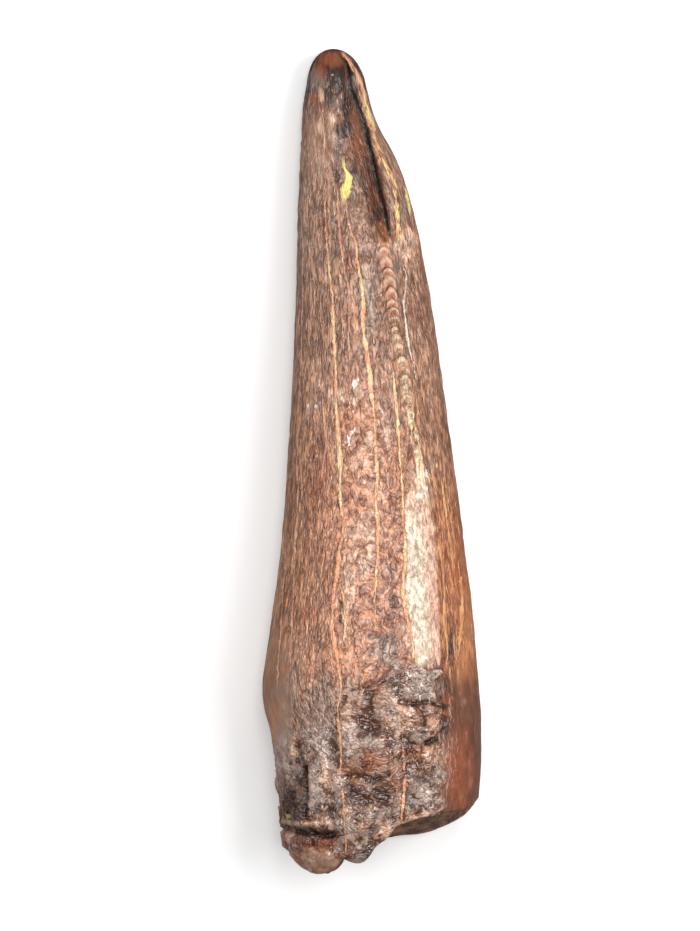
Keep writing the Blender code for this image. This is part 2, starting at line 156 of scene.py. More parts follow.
# Pits and lumps in the crust: x, y, half width, half length, height.
CRUST_FORMS = np.array([
    (1.95, -8.14, 0.7, 0.8, 0.1), (1.32, -9.4, 0.36, 0.3, 0.16), (1.7, -9.88, 0.34, 0.3, 0.12),
    (2.4, -9.94, 0.3, 0.6, 0.1), (2.2, -10.88, 0.5, 0.45, 0.14), (1.35, -10.6, 0.3, 0.4, -0.12),
    (2.0, -12.4, 0.75, 0.6, 0.18), (-0.2, -9.75, 0.42, 0.78, -0.22), (-0.25, -11.05, 0.74, 0.62, 0.14),
    (-1.9, -11.8, 0.4, 0.95, 0.14), (-1.2, -11.95, 0.26, 0.6, 0.1), (-2.8, -12.95, 0.34, 0.44, 0.1),
    (-1.8, -13.05, 0.3, 0.2, -0.14), (-2.0, -14.98, 0.9, 0.46, 0.2), (-0.52, -14.8, 0.4, 0.3, 0.2),
    (0.3, -12.57, 0.6, 0.45, -0.14), (0.4, -13.9, 0.34, 0.4, 0.18), (1.3, -12.95, 0.4, 0.36, 0.14),
    (-0.7, -13.1, 0.36, 0.3, 0.1), (2.85, -8.6, 0.22, 0.55, -0.16),
]) * MM

# Grooves and ridges across the crust: height, half width, then points as (x, y).
CRUST_LINES = [
    (-0.24, 0.13, [(-1.13, -9.15), (-1.02, -8.8), (-0.8, -8.6), (-0.5, -8.48), (-0.28, -8.56),
                   (-0.08, -8.8)]),
    (0.14, 0.08, [(-0.98, -9.25), (-0.75, -8.95), (-0.48, -8.68)]),
    (0.12, 0.07, [(-0.56, -9.3), (-0.42, -8.92), (-0.38, -8.7)]),
    (0.1, 0.09, [(-0.22, -8.4), (0.02, -8.64), (0.2, -9.0), (0.3, -9.45), (0.45, -9.85)]),
    (0.1, 0.08, [(-0.75, -10.3), (-0.5, -10.15), (-0.25, -10.35), (0.0, -10.6), (0.24, -10.45)]),
    (-0.14, 0.1, [(-0.95, -11.85), (-0.4, -11.8), (0.1, -11.95), (0.6, -11.75)]),
    (-0.2, 0.09, [(1.05, -9.05), (1.45, -9.14), (1.9, -9.06), (2.4, -9.16), (2.86, -9.28)]),
    (-0.16, 0.08, [(1.4, -9.5), (1.55, -9.85), (1.85, -9.92), (1.98, -9.62)]),
    (-0.22, 0.1, [(2.0, -10.58), (2.33, -10.38), (2.56, -10.05), (2.72, -9.6)]),
    (0.12, 0.08, [(1.95, -10.35), (2.26, -9.85), (2.44, -9.32)]),
    (-0.12, 0.08, [(1.05, -10.32), (1.43, -10.58), (1.8, -10.7)]),
    (-0.18, 0.13, [(-2.82, -10.6), (-2.63, -11.15), (-2.44, -11.64), (-2.33, -12.2), (-2.37, -12.65)]),
    (0.14, 0.08, [(-2.97, -10.6), (-2.82, -11.15)]),
    (0.14, 0.08, [(-2.67, -11.07), (-2.56, -11.41)]),
    (0.1, 0.1, [(-3.24, -13.57), (-2.6, -13.62), (-1.95, -13.6), (-1.3, -13.5)]),
    (0.08, 0.07, [(-2.78, -14.45), (-2.4, -14.55), (-1.95, -14.5), (-1.3, -14.8)]),
    (-0.16, 0.09, [(1.24, -12.2), (1.5, -12.6), (1.8, -12.95)]),
    (0.16, 0.08, [(0.94, -13.55), (1.25, -13.58), (1.7, -13.36), (2.26, -13.16), (2.6, -12.98)]),
    (-0.12, 0.07, [(1.17, -10.7), (1.2, -11.4), (1.22, -11.9), (1.15, -12.6), (1.1, -13.4)]),
    (0.12, 0.09, [(0.25, -13.3), (0.5, -13.75), (0.65, -14.1)]),
    (-0.16, 0.09, [(-0.3, -12.6), (0.05, -13.0), (0.1, -13.5), (-0.1, -14.2)]),
]
CRACK_LEDGE = np.array([(-4.0, -13.8), (-2.2, -13.95), (-0.9, -14.05), (0.6, -14.3)]) * MM
CRACK_LEDGE_END = -0.75 * MM
CRACK_LEDGE_DEPTH = 0.26 * MM
CRACK_LEDGE_WIDTH = 0.13 * MM

LUMP_SIZES = ((1.10 * MM, 0.11 * MM), (0.46 * MM, 0.08 * MM))
BREAK_SIZES = ((1.30 * MM, 0.24 * MM), (0.50 * MM, 0.11 * MM))
LATTICE = 48

# Fine relief that only this mesh has, as pairs of size and height. Left of SLANT_FROM the crust's facets
# are drawn out along a slant, and the enamel's creases are drawn out lengthwise everywhere.
FACETS = (0.42 * MM, 0.085 * MM)
FINE_CRUST = ((0.22 * MM, 0.035 * MM),)
FINE_BREAK = ((0.30 * MM, 0.10 * MM), (0.15 * MM, 0.05 * MM))
FINE_ENAMEL = ((0.18 * MM, 0.014 * MM), (0.30 * MM, 0.012 * MM))
SLANT_FROM = -1.0 * MM
SLANT_ALONG = (0.55, -0.83)
SLANT_STRETCH = 2.2
ENAMEL_STRETCH = 3.5

# Rounds of smoothing that tell hollows from crests, and the height of the bump finer than the mesh.
HOLLOW_BLUR = 8
BUMP_HEIGHT = 0.035 * MM

# Pale seams and streaks down the crown: tone, then points as (y, x, half width).
SEAMS = [
    ("cream", [
        (9.8, -1.77, 0.03), (8.7, -1.75, 0.05), (6.9, -1.58, 0.05), (6.0, -1.5, 0.05), (5.1, -1.45, 0.07),
        (3.3, -1.39, 0.06), (2.1, -1.35, 0.06), (1.1, -1.28, 0.09), (-0.1, -1.2, 0.1), (-1.4, -1.2, 0.07),
        (-2.0, -1.13, 0.03), (-2.7, -1.09, 0.06), (-3.4, -1.24, 0.1), (-4.0, -1.28, 0.11),
        (-4.9, -1.43, 0.06), (-5.6, -1.5, 0.05), (-6.2, -1.5, 0.08), (-6.9, -1.39, 0.12),
        (-7.6, -1.28, 0.09), (-8.6, -1.17, 0.05), (-9.3, -1.28, 0.03), (-9.7, -1.25, 0.07),
        (-10.3, -1.17, 0.05), (-11.8, -1.09, 0.03), (-12.8, -1.05, 0.03), (-14.0, -0.98, 0.04),
        (-14.9, -0.94, 0.03),
    ]),
    ("cream", [
        (-4.6, -1.3, 0.02), (-5.0, -1.1, 0.07), (-5.8, -1.02, 0.05), (-6.6, -1.06, 0.06),
        (-7.1, -1.16, 0.02),
    ]),
    ("pink", [
        (10.4, -1.32, 0.04), (8.7, -1.24, 0.06), (7.5, -1.09, 0.05), (6.3, -0.88, 0.05), (5.0, -0.88, 0.04),
        (3.5, -0.86, 0.03),
    ]),
    ("cream", [
        (9.7, -0.98, 0.03), (8.7, -0.83, 0.04), (8.1, -0.6, 0.05), (7.3, -0.54, 0.05), (6.7, -0.39, 0.06),
        (6.0, -0.34, 0.08), (5.4, -0.34, 0.08), (4.6, -0.28, 0.09), (3.7, -0.15, 0.09), (3.0, -0.08, 0.1),
        (2.2, 0.0, 0.08), (1.5, 0.08, 0.06), (0.3, 0.14, 0.07), (-1.1, 0.17, 0.06), (-1.5, 0.11, 0.04),
        (-2.0, 0.19, 0.09), (-3.4, 0.21, 0.06), (-4.9, 0.11, 0.03), (-6.5, 0.11, 0.02),
    ]),
    ("cream", [
        (3.5, 0.79, 0.02), (2.6, 0.86, 0.05), (1.8, 0.94, 0.06), (0.6, 1.02, 0.06), (-1.1, 1.13, 0.06),
        (-2.6, 1.18, 0.06), (-3.6, 1.24, 0.08), (-4.5, 1.18, 0.08), (-5.1, 1.15, 0.09), (-5.6, 1.24, 0.09),
        (-6.7, 1.48, 0.04), (-7.3, 1.52, 0.03), (-8.6, 1.2, 0.02), (-10.9, 1.17, 0.04), (-11.4, 1.2, 0.07),
        (-11.8, 1.24, 0.07), (-12.8, 1.13, 0.06), (-13.6, 1.09, 0.03),
    ]),
    ("orange", [
        (-3.0, 2.59, 0.04), (-3.6, 2.59, 0.06), (-4.8, 2.73, 0.06), (-6.2, 2.71, 0.07), (-7.0, 2.88, 0.03),
    ]),
    ("pink", [
        (8.5, -2.59, 0.02), (3.8, -2.67, 0.03), (0.0, -2.82, 0.03), (-1.1, -2.79, 0.04),
        (-3.6, -2.91, 0.04), (-6.2, -3.02, 0.04), (-8.0, -3.08, 0.03),
    ]),
    ("pink", [(-2.8, -3.23, 0.02), (-4.8, -3.33, 0.03), (-6.5, -3.46, 0.03), (-8.6, -3.57, 0.02)]),
    # A painted highlight: the thin white glint line in the hollow beside the cutting edge.
    ("painted_glint", [
        (7.5, 1.24, 0.02), (6.7, 1.37, 0.03), (6.0, 1.28, 0.05), (5.4, 1.32, 0.05), (4.2, 1.43, 0.05),
        (3.5, 1.64, 0.03), (2.8, 1.71, 0.02),
    ]),
    ("yellow", [(10.4, 1.16, 0.05), (10.0, 1.28, 0.07), (9.6, 1.38, 0.08), (9.1, 1.46, 0.03)]),
    ("yellow", [
        (11.5, -1.1, 0.02), (11.25, -1.06, 0.07), (11.0, -1.04, 0.06), (10.72, -0.88, 0.13),
        (10.45, -0.92, 0.19), (10.15, -1.0, 0.25), (9.9, -1.02, 0.17), (9.68, -1.02, 0.02),
    ]),
    ("orange", [
        (-3.6, 3.25, 0.02), (-4.6, 3.36, 0.05), (-5.6, 3.4, 0.08), (-6.6, 3.34, 0.09), (-7.4, 3.22, 0.04),
    ]),
    ("orange", [(-0.6, 2.62, 0.02), (-1.6, 2.78, 0.05), (-2.6, 2.92, 0.05), (-3.6, 3.02, 0.02)]),
    ("pink", [
        (13.4, -1.84, 0.03), (12.6, -1.86, 0.04), (11.7, -1.8, 0.04), (11.0, -1.82, 0.02),
        (10.2, -1.78, 0.03), (9.4, -1.76, 0.03),
    ]),
]
SEAM_FADE = 0.3
SEAM_TONES = {
    "cream": ((248, 168, 122), (255, 216, 156)),
    "pink": ((214, 146, 118), (232, 176, 142)),
    "orange": ((222, 140, 84), (252, 186, 120)),
    # Tones of the painted glint line.
    "painted_glint": ((255, 222, 196), (255, 255, 250)),
    "yellow": ((250, 200, 104), (255, 236, 140)),
}

# Marks on the side that is seen from above: x, y, half width, half length, turn in degrees, strength.
MARKS = {
    "rust": [
        (-1.55, 15.1, 0.55, 0.3, 0, 1.0), (-2.0, 14.75, 0.3, 0.35, 0, 0.7),
        (-2.16, 13.62, 0.18, 0.26, 0, 1.3), (-0.4, 11.9, 0.25, 1.6, 14, 0.8),
        (0.05, 10.1, 0.16, 1.1, 10, 0.9), (0.42, 8.55, 0.2, 0.4, 8, 1.2), (-0.72, 7.4, 0.3, 0.45, 0, 0.8),
        (-2.05, -0.5, 0.5, 1.4, 0, 0.6), (-2.4, -5.8, 0.55, 1.6, 0, 0.5), (3.1, -4.6, 0.4, 2.6, -6, 0.6),
        (3.25, -11.6, 0.6, 1.6, 0, 0.8), (-0.2, -9.8, 0.35, 0.75, 0, 0.7), (-0.1, -11.2, 0.65, 0.5, 0, 0.7),
        (-1.8, -14.3, 0.6, 0.35, 0, 1.2), (2.85, -9.3, 0.2, 0.6, 0, 0.8), (1.6, -10.9, 0.4, 0.3, 0, 0.6),
        (-1.5, -12.6, 0.22, 0.45, 0, 0.8), (-2.9, -11.1, 0.18, 0.35, 0, 0.7),
    ],
    # Dark marks: dark stains, and painted shade in the crust's pits, grooves and crevices, with a painted
    # shadow under the lower ledge.
    "dark": [
        (-1.28, 14.3, 0.35, 0.45, 0, 0.9), (-0.95, 13.4, 0.22, 0.6, 0, 0.8),
        (-1.0, 12.5, 0.32, 0.35, 30, 1.0), (-1.3, 10.75, 0.14, 0.35, 0, 0.8),
        (-0.66, 10.95, 0.1, 0.35, 0, 0.7), (0.1, 9.7, 0.14, 0.5, 10, 0.9), (0.35, 9.3, 0.14, 0.3, 0, 1.0),
        (-0.1, 10.9, 0.14, 0.6, 14, 0.8), (0.9, 9.4, 0.12, 0.8, 6, 0.7), (2.62, -9.22, 0.28, 0.1, 0, 1.4),
        (-2.55, -11.6, 0.2, 0.75, 0, 0.8), (-2.75, -12.95, 0.55, 0.6, 0, 1.2),
        (1.75, -11.9, 0.6, 0.14, -35, 0.9), (-0.6, -12.6, 0.3, 0.5, 0, 0.8),
        (-2.1, -13.95, 0.75, 0.2, -6, 1.3), (-1.95, -13.15, 0.25, 0.12, 0, 1.0),
        (-0.3, -14.8, 0.4, 0.3, 0, 0.9), (2.65, -10.0, 0.2, 0.4, 0, 0.9), (2.2, -10.5, 0.4, 0.14, 10, 0.9),
        (0.35, -12.0, 0.6, 0.12, 0, 0.8), (1.35, -12.7, 0.12, 0.55, 32, 1.0),
        (0.4, -12.6, 0.4, 0.25, 0, 0.8), (-1.28, -9.5, 0.07, 0.09, 0, 2.0), (-1.2, -5.4, 0.05, 0.3, 0, 1.5),
        (-1.17, -5.95, 0.05, 0.22, 0, 1.5), (0.75, -5.3, 0.45, 1.1, 0, 0.55),
        (3.02, -6.9, 0.16, 0.7, 0, 0.9),
    ],
    "grey": [
        (-2.15, 14.3, 0.28, 0.6, 0, 0.9), (-1.3, 11.9, 0.28, 0.7, 0, 0.9),
        (-0.72, 14.2, 0.16, 0.45, -20, 1.0), (-1.3, 13.35, 0.22, 0.35, 0, 0.6),
        (-0.58, 10.2, 0.14, 0.6, -8, 0.9), (-1.5, 8.2, 0.2, 1.2, 0, 0.7), (-0.9, 8.6, 0.16, 0.6, 0, 0.6),
        (-0.1, 6.1, 0.4, 1.2, 0, 0.8), (1.0, 7.8, 0.2, 2.2, -5, 0.8), (-2.4, 9.0, 0.5, 3.2, 0, 0.4),
        (0.6, -7.2, 0.6, 0.6, 0, 0.9), (-3.1, -9.5, 0.6, 3.0, 0, 0.7), (1.9, -8.15, 0.7, 0.75, 0, 1.0),
        (-2.0, -9.4, 0.9, 1.3, 0, 1.1), (-0.95, -8.7, 0.6, 0.6, 0, 0.9), (-1.75, -11.6, 0.45, 1.6, 0, 1.1),
        (0.6, 1.9, 0.35, 0.9, 0, 0.6), (1.7, -12.5, 0.7, 0.6, 0, 1.0), (-0.3, -3.9, 0.4, 0.5, 0, 0.4),
        (0.95, -9.4, 0.45, 0.8, 0, 0.9), (-0.9, -10.4, 0.35, 0.8, 0, 0.8), (0.2, -13.2, 0.4, 0.6, 0, 0.7),
    ],
    # Pale marks: pale patches of enamel and crust, and painted highlight on the worn ribbon and on the lip of
    # the lower ledge.
    "pale": [
        (1.32, 8.1, 0.34, 0.55, 0, 1.3), (-1.3, 2.45, 0.45, 0.3, 0, 0.9), (-0.6, 2.45, 0.3, 0.35, 0, 1.0),
        (-1.92, 13.75, 0.09, 0.25, 0, 1.0), (-1.92, 12.55, 0.11, 0.35, 0, 1.0),
        (-1.47, 12.8, 0.14, 0.24, -20, 1.0), (-1.45, 11.95, 0.08, 0.3, 0, 0.8),
        (-1.8, 11.3, 0.09, 0.3, 0, 0.8), (-2.2, 12.0, 0.07, 0.4, 0, 0.6), (-0.3, -2.9, 0.8, 1.6, 0, 0.5),
        (-0.9, -4.9, 0.3, 1.9, 0, 0.8), (0.0, 0.6, 0.7, 1.8, 0, 0.5), (1.75, -1.4, 0.35, 1.2, -8, 1.0),
        (1.75, -4.3, 0.45, 2.9, -3, 1.3), (-2.2, -13.6, 0.85, 0.14, -4, 1.0),
        (-1.0, -13.2, 0.3, 0.4, 0, 0.7), (1.3, -9.6, 0.45, 0.5, 0, 1.0), (2.2, -10.0, 0.25, 0.5, 0, 0.8),
        (2.2, -11.0, 0.45, 0.4, 0, 1.0), (0.3, -13.9, 0.35, 0.45, 25, 1.0),
        (-1.6, -12.0, 0.22, 0.6, 0, 0.8), (-1.0, -9.2, 0.25, 0.6, 0, 0.7), (0.7, -9.8, 0.22, 1.2, 0, 0.6),
        (-1.9, -14.75, 0.7, 0.25, -12, 0.5), (-2.55, -11.7, 0.1, 0.4, 12, 0.9),
        (1.7, -13.3, 0.6, 0.08, 10, 1.2), (0.4, -10.9, 0.4, 0.6, 0, 0.5),
    ],
    "yellow": [
        (-0.06, -12.95, 0.07, 0.1, 35, 1.0), (-0.58, -14.3, 0.05, 0.16, 0, 0.9),
        (-3.02, -13.35, 0.1, 0.12, 0, 0.9), (-2.8, -10.95, 0.06, 0.2, 10, 0.8),
        (0.95, -13.65, 0.12, 0.07, 0, 0.9), (2.48, -0.2, 0.05, 0.16, 0, 0.8),
    ],
    # Painted glints: white flecks where the enamel and the crust catch the lamps; the crossed pair at the
    # middle left stands for white scratches.
    "glint": [
        (-1.98, 2.9, 0.14, 0.3, 20, 0.8), (-0.7, 2.75, 0.14, 0.36, -20, 1.0),
        (-0.95, 2.2, 0.18, 0.3, 30, 0.9), (-0.86, 0.8, 0.12, 0.4, -14, 1.0),
        (-0.62, 1.9, 0.22, 0.22, 0, 0.7), (0.42, 1.92, 0.12, 0.2, -30, 0.9),
        (-1.47, 14.5, 0.05, 0.05, 0, 1.1), (-2.35, 1.95, 0.06, 0.4, 22, 0.8),
        (-2.1, 1.95, 0.06, 0.4, -22, 0.8), (1.92, -0.95, 0.16, 0.7, -10, 1.1),
        (1.62, -1.45, 0.12, 0.4, 0, 0.9), (-0.42, -8.6, 0.12, 0.1, 0, 1.0), (1.28, -9.4, 0.3, 0.3, 0, 0.9),
        (1.75, -9.0, 0.3, 0.2, 0, 0.8), (2.05, -11.1, 0.4, 0.2, -30, 0.9),
        (0.22, -13.85, 0.1, 0.34, 30, 0.9), (1.2, -13.1, 0.07, 0.07, 0, 1.0),
        (-1.2, -13.6, 1.2, 0.1, 0, 0.7), (-1.0, -12.05, 0.12, 0.14, 0, 0.9), (1.6, -8.1, 0.4, 0.4, 0, 0.7),
        (-3.08, -0.6, 0.05, 0.12, 0, 1.0),
    ],
    "worm": [
        (-0.1, -2.8, 1.6, 4.6, 0, 1.2), (1.75, -4.3, 0.6, 3.2, 0, 1.0), (-0.6, 1.3, 0.9, 1.8, 0, 1.0),
        (1.32, 8.1, 0.4, 0.6, 0, 1.5), (0.0, -11.0, 3.0, 4.0, 0, 1.5),
    ],
    "smooth": [
        (3.55, -11.0, 0.8, 3.6, 0, 1.2), (-3.6, -9.5, 0.6, 3.5, 0, 1.0), (-1.6, 15.0, 1.2, 0.9, 0, 1.0),
        (-2.1, 12.4, 0.8, 2.6, 0, 0.55), (-1.95, -15.0, 0.95, 0.45, -12, 1.0),
        (3.1, -11.6, 0.5, 2.4, 0, 1.2), (3.4, -5.0, 0.6, 3.0, 0, 0.6),
    ],
}


def through(points, at):
    """Value at each place of a smooth curve through a few (place, value) points."""
    knots, values = np.array(sorted(map(tuple, points))).T
    slopes = np.gradient(values, knots)
    left = np.clip(np.searchsorted(knots, at) - 1, 0, len(knots) - 2)
    span = knots[left + 1] - knots[left]
    t = np.clip((at - knots[left]) / span, 0, 1)
    start = (1 + 2 * t) * (1 - t) ** 2 * values[left] + t * (1 - t) ** 2 * span * slopes[left]
    end = t * t * (3 - 2 * t) * values[left + 1] + t * t * (t - 1) * span * slopes[left + 1]
    return start + end


def ease(low, high, at):
    """0 below low, 1 above high, and smooth between."""
    t = np.clip((at - low) / (high - low), 0, 1)
    return t * t * (3 - 2 * t)


def bell(at):
    return np.exp(-at * at)


def lumps(points, size, seed):
    """Smooth seeded noise from -1 to 1 over points, with hills about one size across."""
    heights = np.random.default_rng(seed).uniform(-1, 1, (LATTICE,) * 3)
    cell = np.floor(points / size).astype(int)
    part = points / size - cell
    part = part * part * (3 - 2 * part)
    total = np.zeros(len(points))
    for corner in np.ndindex(2, 2, 2):
        weight = np.prod(np.where(corner, part, 1 - part), axis=1)
        i, j, k = ((cell + corner) % LATTICE).T
        total += weight * heights[i, j, k]
    return total


def layered(points, layers, seed):
    """Sum of noise layers, each with its hill size and height."""
    return sum(height * lumps(points, size, seed + i) for i, (size, height) in enumerate(layers))


def creased(points, layers, seed):
    """Sum of swelling layers that meet in sharp creases, each with its swell size and height."""
    return sum(height * (2 * abs(lumps(points, size, seed + i)) - 0.6)
               for i, (size, height) in enumerate(layers))


def near_line(x, y, line):
    """Distance of each point from a line through a few (x, y) points in millimetres."""
    points = np.array(line) * MM
    nearest = np.full(len(x), 1.0)
    for (ax, ay), (bx, by) in zip(points, points[1:]):
        run_x, run_y = bx - ax, by - ay
        share = np.clip(((x - ax) * run_x + (y - ay) * run_y) / (run_x ** 2 + run_y ** 2), 0, 1)
        nearest = np.minimum(nearest, np.hypot(x - ax - share * run_x, y - ay - share * run_y))
    return nearest


def signed_power(value, power):
    return np.sign(value) * np.abs(value) ** power


def section(angle, y):
    """Plain rounded section at y: x and z at each angle, and the outward direction there."""
    left, right = through(LEFT_EDGE, y), through(RIGHT_EDGE, y)
    top, bottom = through(TOP, y), through(BOTTOM, y)
    from_tip = np.clip((TIP_Y - y) / TIP_DOME, 0, 1)
    dome = np.sqrt(np.clip(1 - (1 - from_tip) ** 2, 0, 1))
    half_width, half_height = (right - left) / 2 * dome, (top - bottom) / 2 * dome
    power = 2 / (LOWER_POWER + (UPPER_POWER - LOWER_POWER) * ease(0, 0.6, np.sin(angle)))
    x = (left + right) / 2 + half_width * signed_power(np.cos(angle), power)
    z = (top + bottom) / 2 + half_height * signed_power(np.sin(angle), power)
    across = np.cos(angle) * (top - bottom)
    up = np.sin(angle) * (right - left)
    length = np.hypot(across, up)
    return x, z, across / length, up / length


def bead_count(across, y, pitch):
    """Number of beads up to each point: arched and highest towards the tip, and not quite even."""
    jitter = SERRATION_JITTER * (np.sin(y / (0.43 * MM)) + np.sin(y / (0.19 * MM) + 1))
    return (y + jitter + SERRATION_BOW * across ** 2) / pitch


def serrations(across, y, pitch, limits, worn):
    """Share of the keel's height left at each point by the cuts between the beads."""
    phase = bead_count(across, y, pitch) % 1
    bead = ease(-0.1, 0.6, phase) * (1 - ease(0.72, 0.92, phase))
    row = ease(limits[1], limits[1] + pitch, y) * ease(-limits[0], pitch - limits[0], -y)
    return 1 - (SERRATION_CUT + (WORN_SERRATION_CUT - SERRATION_CUT) * worn) * row * (1 - bead)


def front_edge(x, y, upper):
    """Keel with its serrations, worn low and broad further down, and the hollowed flanks beside it."""
    across = x - through(FRONT_EDGE, y)
    height = through(FRONT_KEEL, y)
    worn = ease(*WORN_FROM, y)
    near_width = KEEL_WIDTH + (WORN_KEEL_WIDTH - KEEL_WIDTH) * worn
    keel = height * bell(across / np.where(across < 0, near_width, KEEL_WIDTH))
    keel = keel * serrations(across, y, SERRATION_PITCH, SERRATED, ease(-3.5 * MM, -1.5 * MM, -y))
    far_hollow = 0.5 * height * bell((across - 3.0 * KEEL_WIDTH) / (1.9 * KEEL_WIDTH))
    near_hollow = 0.22 * height * bell((across + 2.8 * KEEL_WIDTH) / (1.8 * KEEL_WIDTH)) * (1 - worn)
    return upper * (keel - far_hollow - near_hollow)


def back_across(angle, y):
    """Distance round the section from the back cutting edge."""
    radius = 0.25 * (through(RIGHT_EDGE, y) - through(LEFT_EDGE, y) + through(TOP, y) - through(BOTTOM, y))
    turn = angle - np.radians(through(BACK_EDGE, y))
    return ((turn + math.pi) % (2 * math.pi) - math.pi) * radius


def back_edge(angle, y):
    across = back_across(angle, y)
    height = through(BACK_KEEL, y)
    keel = height * bell(across / KEEL_WIDTH) * serrations(across, y, BACK_SERRATION_PITCH, BACK_SERRATED, 0)
    hollow = 0.4 * height * (bell((across - 0.7 * MM) / (0.4 * MM)) + bell((across + 0.7 * MM) / (0.4 * MM)))
    return keel - hollow


def tip_chip(x, y, upper):
    """Flake lost beside the tip: it deepens to a sharp step on its far side."""
    soft, step = through(CHIP_SOFT_SIDE, y), through(CHIP_STEP_SIDE, y)
    run = np.clip((x - soft) / (step - soft), 0, None)
    floor = ease(-0.25, 1.05, run)
    wall = 1 - ease(0, CHIP_STEP, x - step)
    depth = through(CHIP_DEPTH, y)
    rim = CHIP_RIM_HEIGHT * bell((x - through(CHIP_RIM, y)) / CHIP_RIM_WIDTH) * ease(0, 0.2 * MM, depth)
    return upper * (rim - depth * floor * wall), upper * floor * wall * ease(0, 0.2 * MM, depth)


def crust_cover(x, y, upper):
    """1 where the crust lies and 0 off it: a ragged border above, and a bare flank at the far side."""
    ragged = 0.10 * MM * np.sin(x / (0.34 * MM)) + 0.05 * MM * np.sin(x / (0.13 * MM) + 1)
    below = ease(0, 1, (through(CRUST_TOP, x) + ragged - y) / np.interp(x, *CRUST_TOP_SOFT.T))
    waves = 0.10 * np.sin(y / (0.16 * MM)) + 0.14 * np.sin(y / (0.37 * MM) + 2)
    side = through(CRUST_SIDE, y) + waves * MM
    inside = 1 - ease(-CRUST_EDGE, 0, x - side)
    return below * (upper * inside + (1 - upper) * ease(-3.4 * MM, -2.2 * MM, -x))


def facets(points, size, height, seed):
    """Flat facets about one size across, each with its own random lean."""
    rng = np.random.default_rng(seed)
    middles = rng.uniform(0, 1, (LATTICE, LATTICE, LATTICE, 3))
    leans = rng.uniform(-1, 1, (LATTICE, LATTICE, LATTICE, 3))
    cell = np.floor(points / size).astype(int)
    nearest = np.full(len(points), 9.0)
    relief = np.zeros(len(points))
    for step in np.ndindex(3, 3, 3):
        near = cell + step - 1
        i, j, k = (near % LATTICE).T
        away = points / size - near - middles[i, j, k]
        far = (away ** 2).sum(axis=1)
        relief = np.where(far < nearest, (away * leans[i, j, k]).sum(axis=1), relief)
        nearest = np.minimum(nearest, far)
    return height * relief


def line_relief(x, y):
    """Height of the grooves and ridges that cross the crust."""
    return sum(height * MM * bell(near_line(x, y, line) / (half_width * MM))
               for height, half_width, line in CRUST_LINES)


def root_crust(points, x, y, upper, cover):
    """Crust with its lumps, pits, grooves and ridges, and the long crack under its lower ledge."""
    along_x, along_y = SLANT_ALONG
    drawn_out = (x * along_x + y * along_y) / SLANT_STRETCH
    slanted = np.column_stack((x * -along_y + y * along_x, drawn_out, points[:, 2]))
    slant = ease(-SLANT_FROM, 0.3 * MM - SLANT_FROM, -x) * upper
    fine = facets(points, *FACETS, 91) * (1 - slant) + facets(slanted, *FACETS, 92) * slant
    fine = fine + creased(points, FINE_CRUST, 61)
    rough = layered(points, LUMP_SIZES, 11) + fine
    forms = 0
    for place_x, place_y, half_x, half_y, height in CRUST_FORMS:
        far = ((x - place_x) / half_x) ** 2 + ((y - place_y) / half_y) ** 2
        forms = forms + height * np.exp(-far ** 1.5)
    forms = forms + line_relief(x, y)
    wave = 0.05 * MM * np.sin(x / (0.16 * MM)) + 0.05 * MM * np.sin(x / (0.41 * MM))
    ledge = bell((y + wave - through(CRACK_LEDGE, x)) / CRACK_LEDGE_WIDTH)
    ledge = ledge * (1 - ease(CRACK_LEDGE_END - MM, CRACK_LEDGE_END, x))
    thickness = CRUST_THICKNESS * (LOWER_CRUST + (1 - LOWER_CRUST) * upper)
    return cover * (thickness + rough + upper * forms) - upper * CRACK_LEDGE_DEPTH * ledge


def grain_points(angle, y):
    """Points whose first and third values keep to one line down the tooth, for lengthwise noise."""
    radius = 1.4 * MM + 0.5 * (through(RIGHT_EDGE, y) - through(LEFT_EDGE, y)) / 2
    return np.column_stack((radius * np.cos(angle), y, radius * np.sin(angle)))


def ring_runs():
    """Share of the way from tip to rim of each ring, closest over the dome, the serrations and the crust."""
    dome = TIP_DOME * (1 - np.cos(np.linspace(0, math.pi / 2, DOME_RINGS + 1)[1:])) / LENGTH
    places = np.linspace(dome[-1], 1, 2000)
    y = TIP_Y - LENGTH * places
    density = 1 + 0.25 * ease(-1 * MM, 0, y) + 0.9 * ease(-6.6 * MM, -7.4 * MM, y)
    total = np.concatenate(([0], np.cumsum((density[1:] + density[:-1]) / 2)))
    side = np.interp(np.linspace(0, total[-1], SIDE_RINGS + 1)[1:], total, places)
    return np.concatenate((dome, side))


def column_angles():
    """Angles of the points in a ring, closest on the side that faces up and at the cutting edges."""
    angle = np.radians(np.linspace(-90, 270, 3601))
    facing = 0.55 + 0.75 * ease(-0.25, 0.1, np.sin(angle))
    front = 1.5 * bell((angle - math.radians(57)) / math.radians(10))
    back = 1.2 * bell((angle - math.radians(213)) / math.radians(5))
    density = facing + front + back
    total = np.concatenate(([0], np.cumsum((density[1:] + density[:-1]) / 2)))
    return np.interp(np.linspace(0, total[-1], COLUMNS + 1)[:-1], total, angle)


def blurred(field, rounds):
    """Field on the ring grid, smoothed round each ring and from ring to ring."""
    for _ in range(rounds):
        field = (np.roll(field, 1, axis=1) + 2 * field + np.roll(field, -1, axis=1)) / 4
        near = np.vstack((field[:1], field, field[-1:]))
        field = (near[:-2] + 2 * field + near[2:]) / 4
    return field


def seam_field(points, x, y, upper):
    """Distance in millimetres from a seam, its strength, which fades at its ends, and its half width."""
    points = np.array(points)
    y_mm = y / MM
    last, first = points[-1, 0], points[0, 0]
    ends = ease(last, last + SEAM_FADE, y_mm) * ease(-first, SEAM_FADE - first, -y_mm)
    distance = x / MM - through(points[:, :2], y_mm)
    return np.column_stack((distance, ends * ease(0.2, 0.8, upper), through(points[:, [0, 2]], y_mm)))


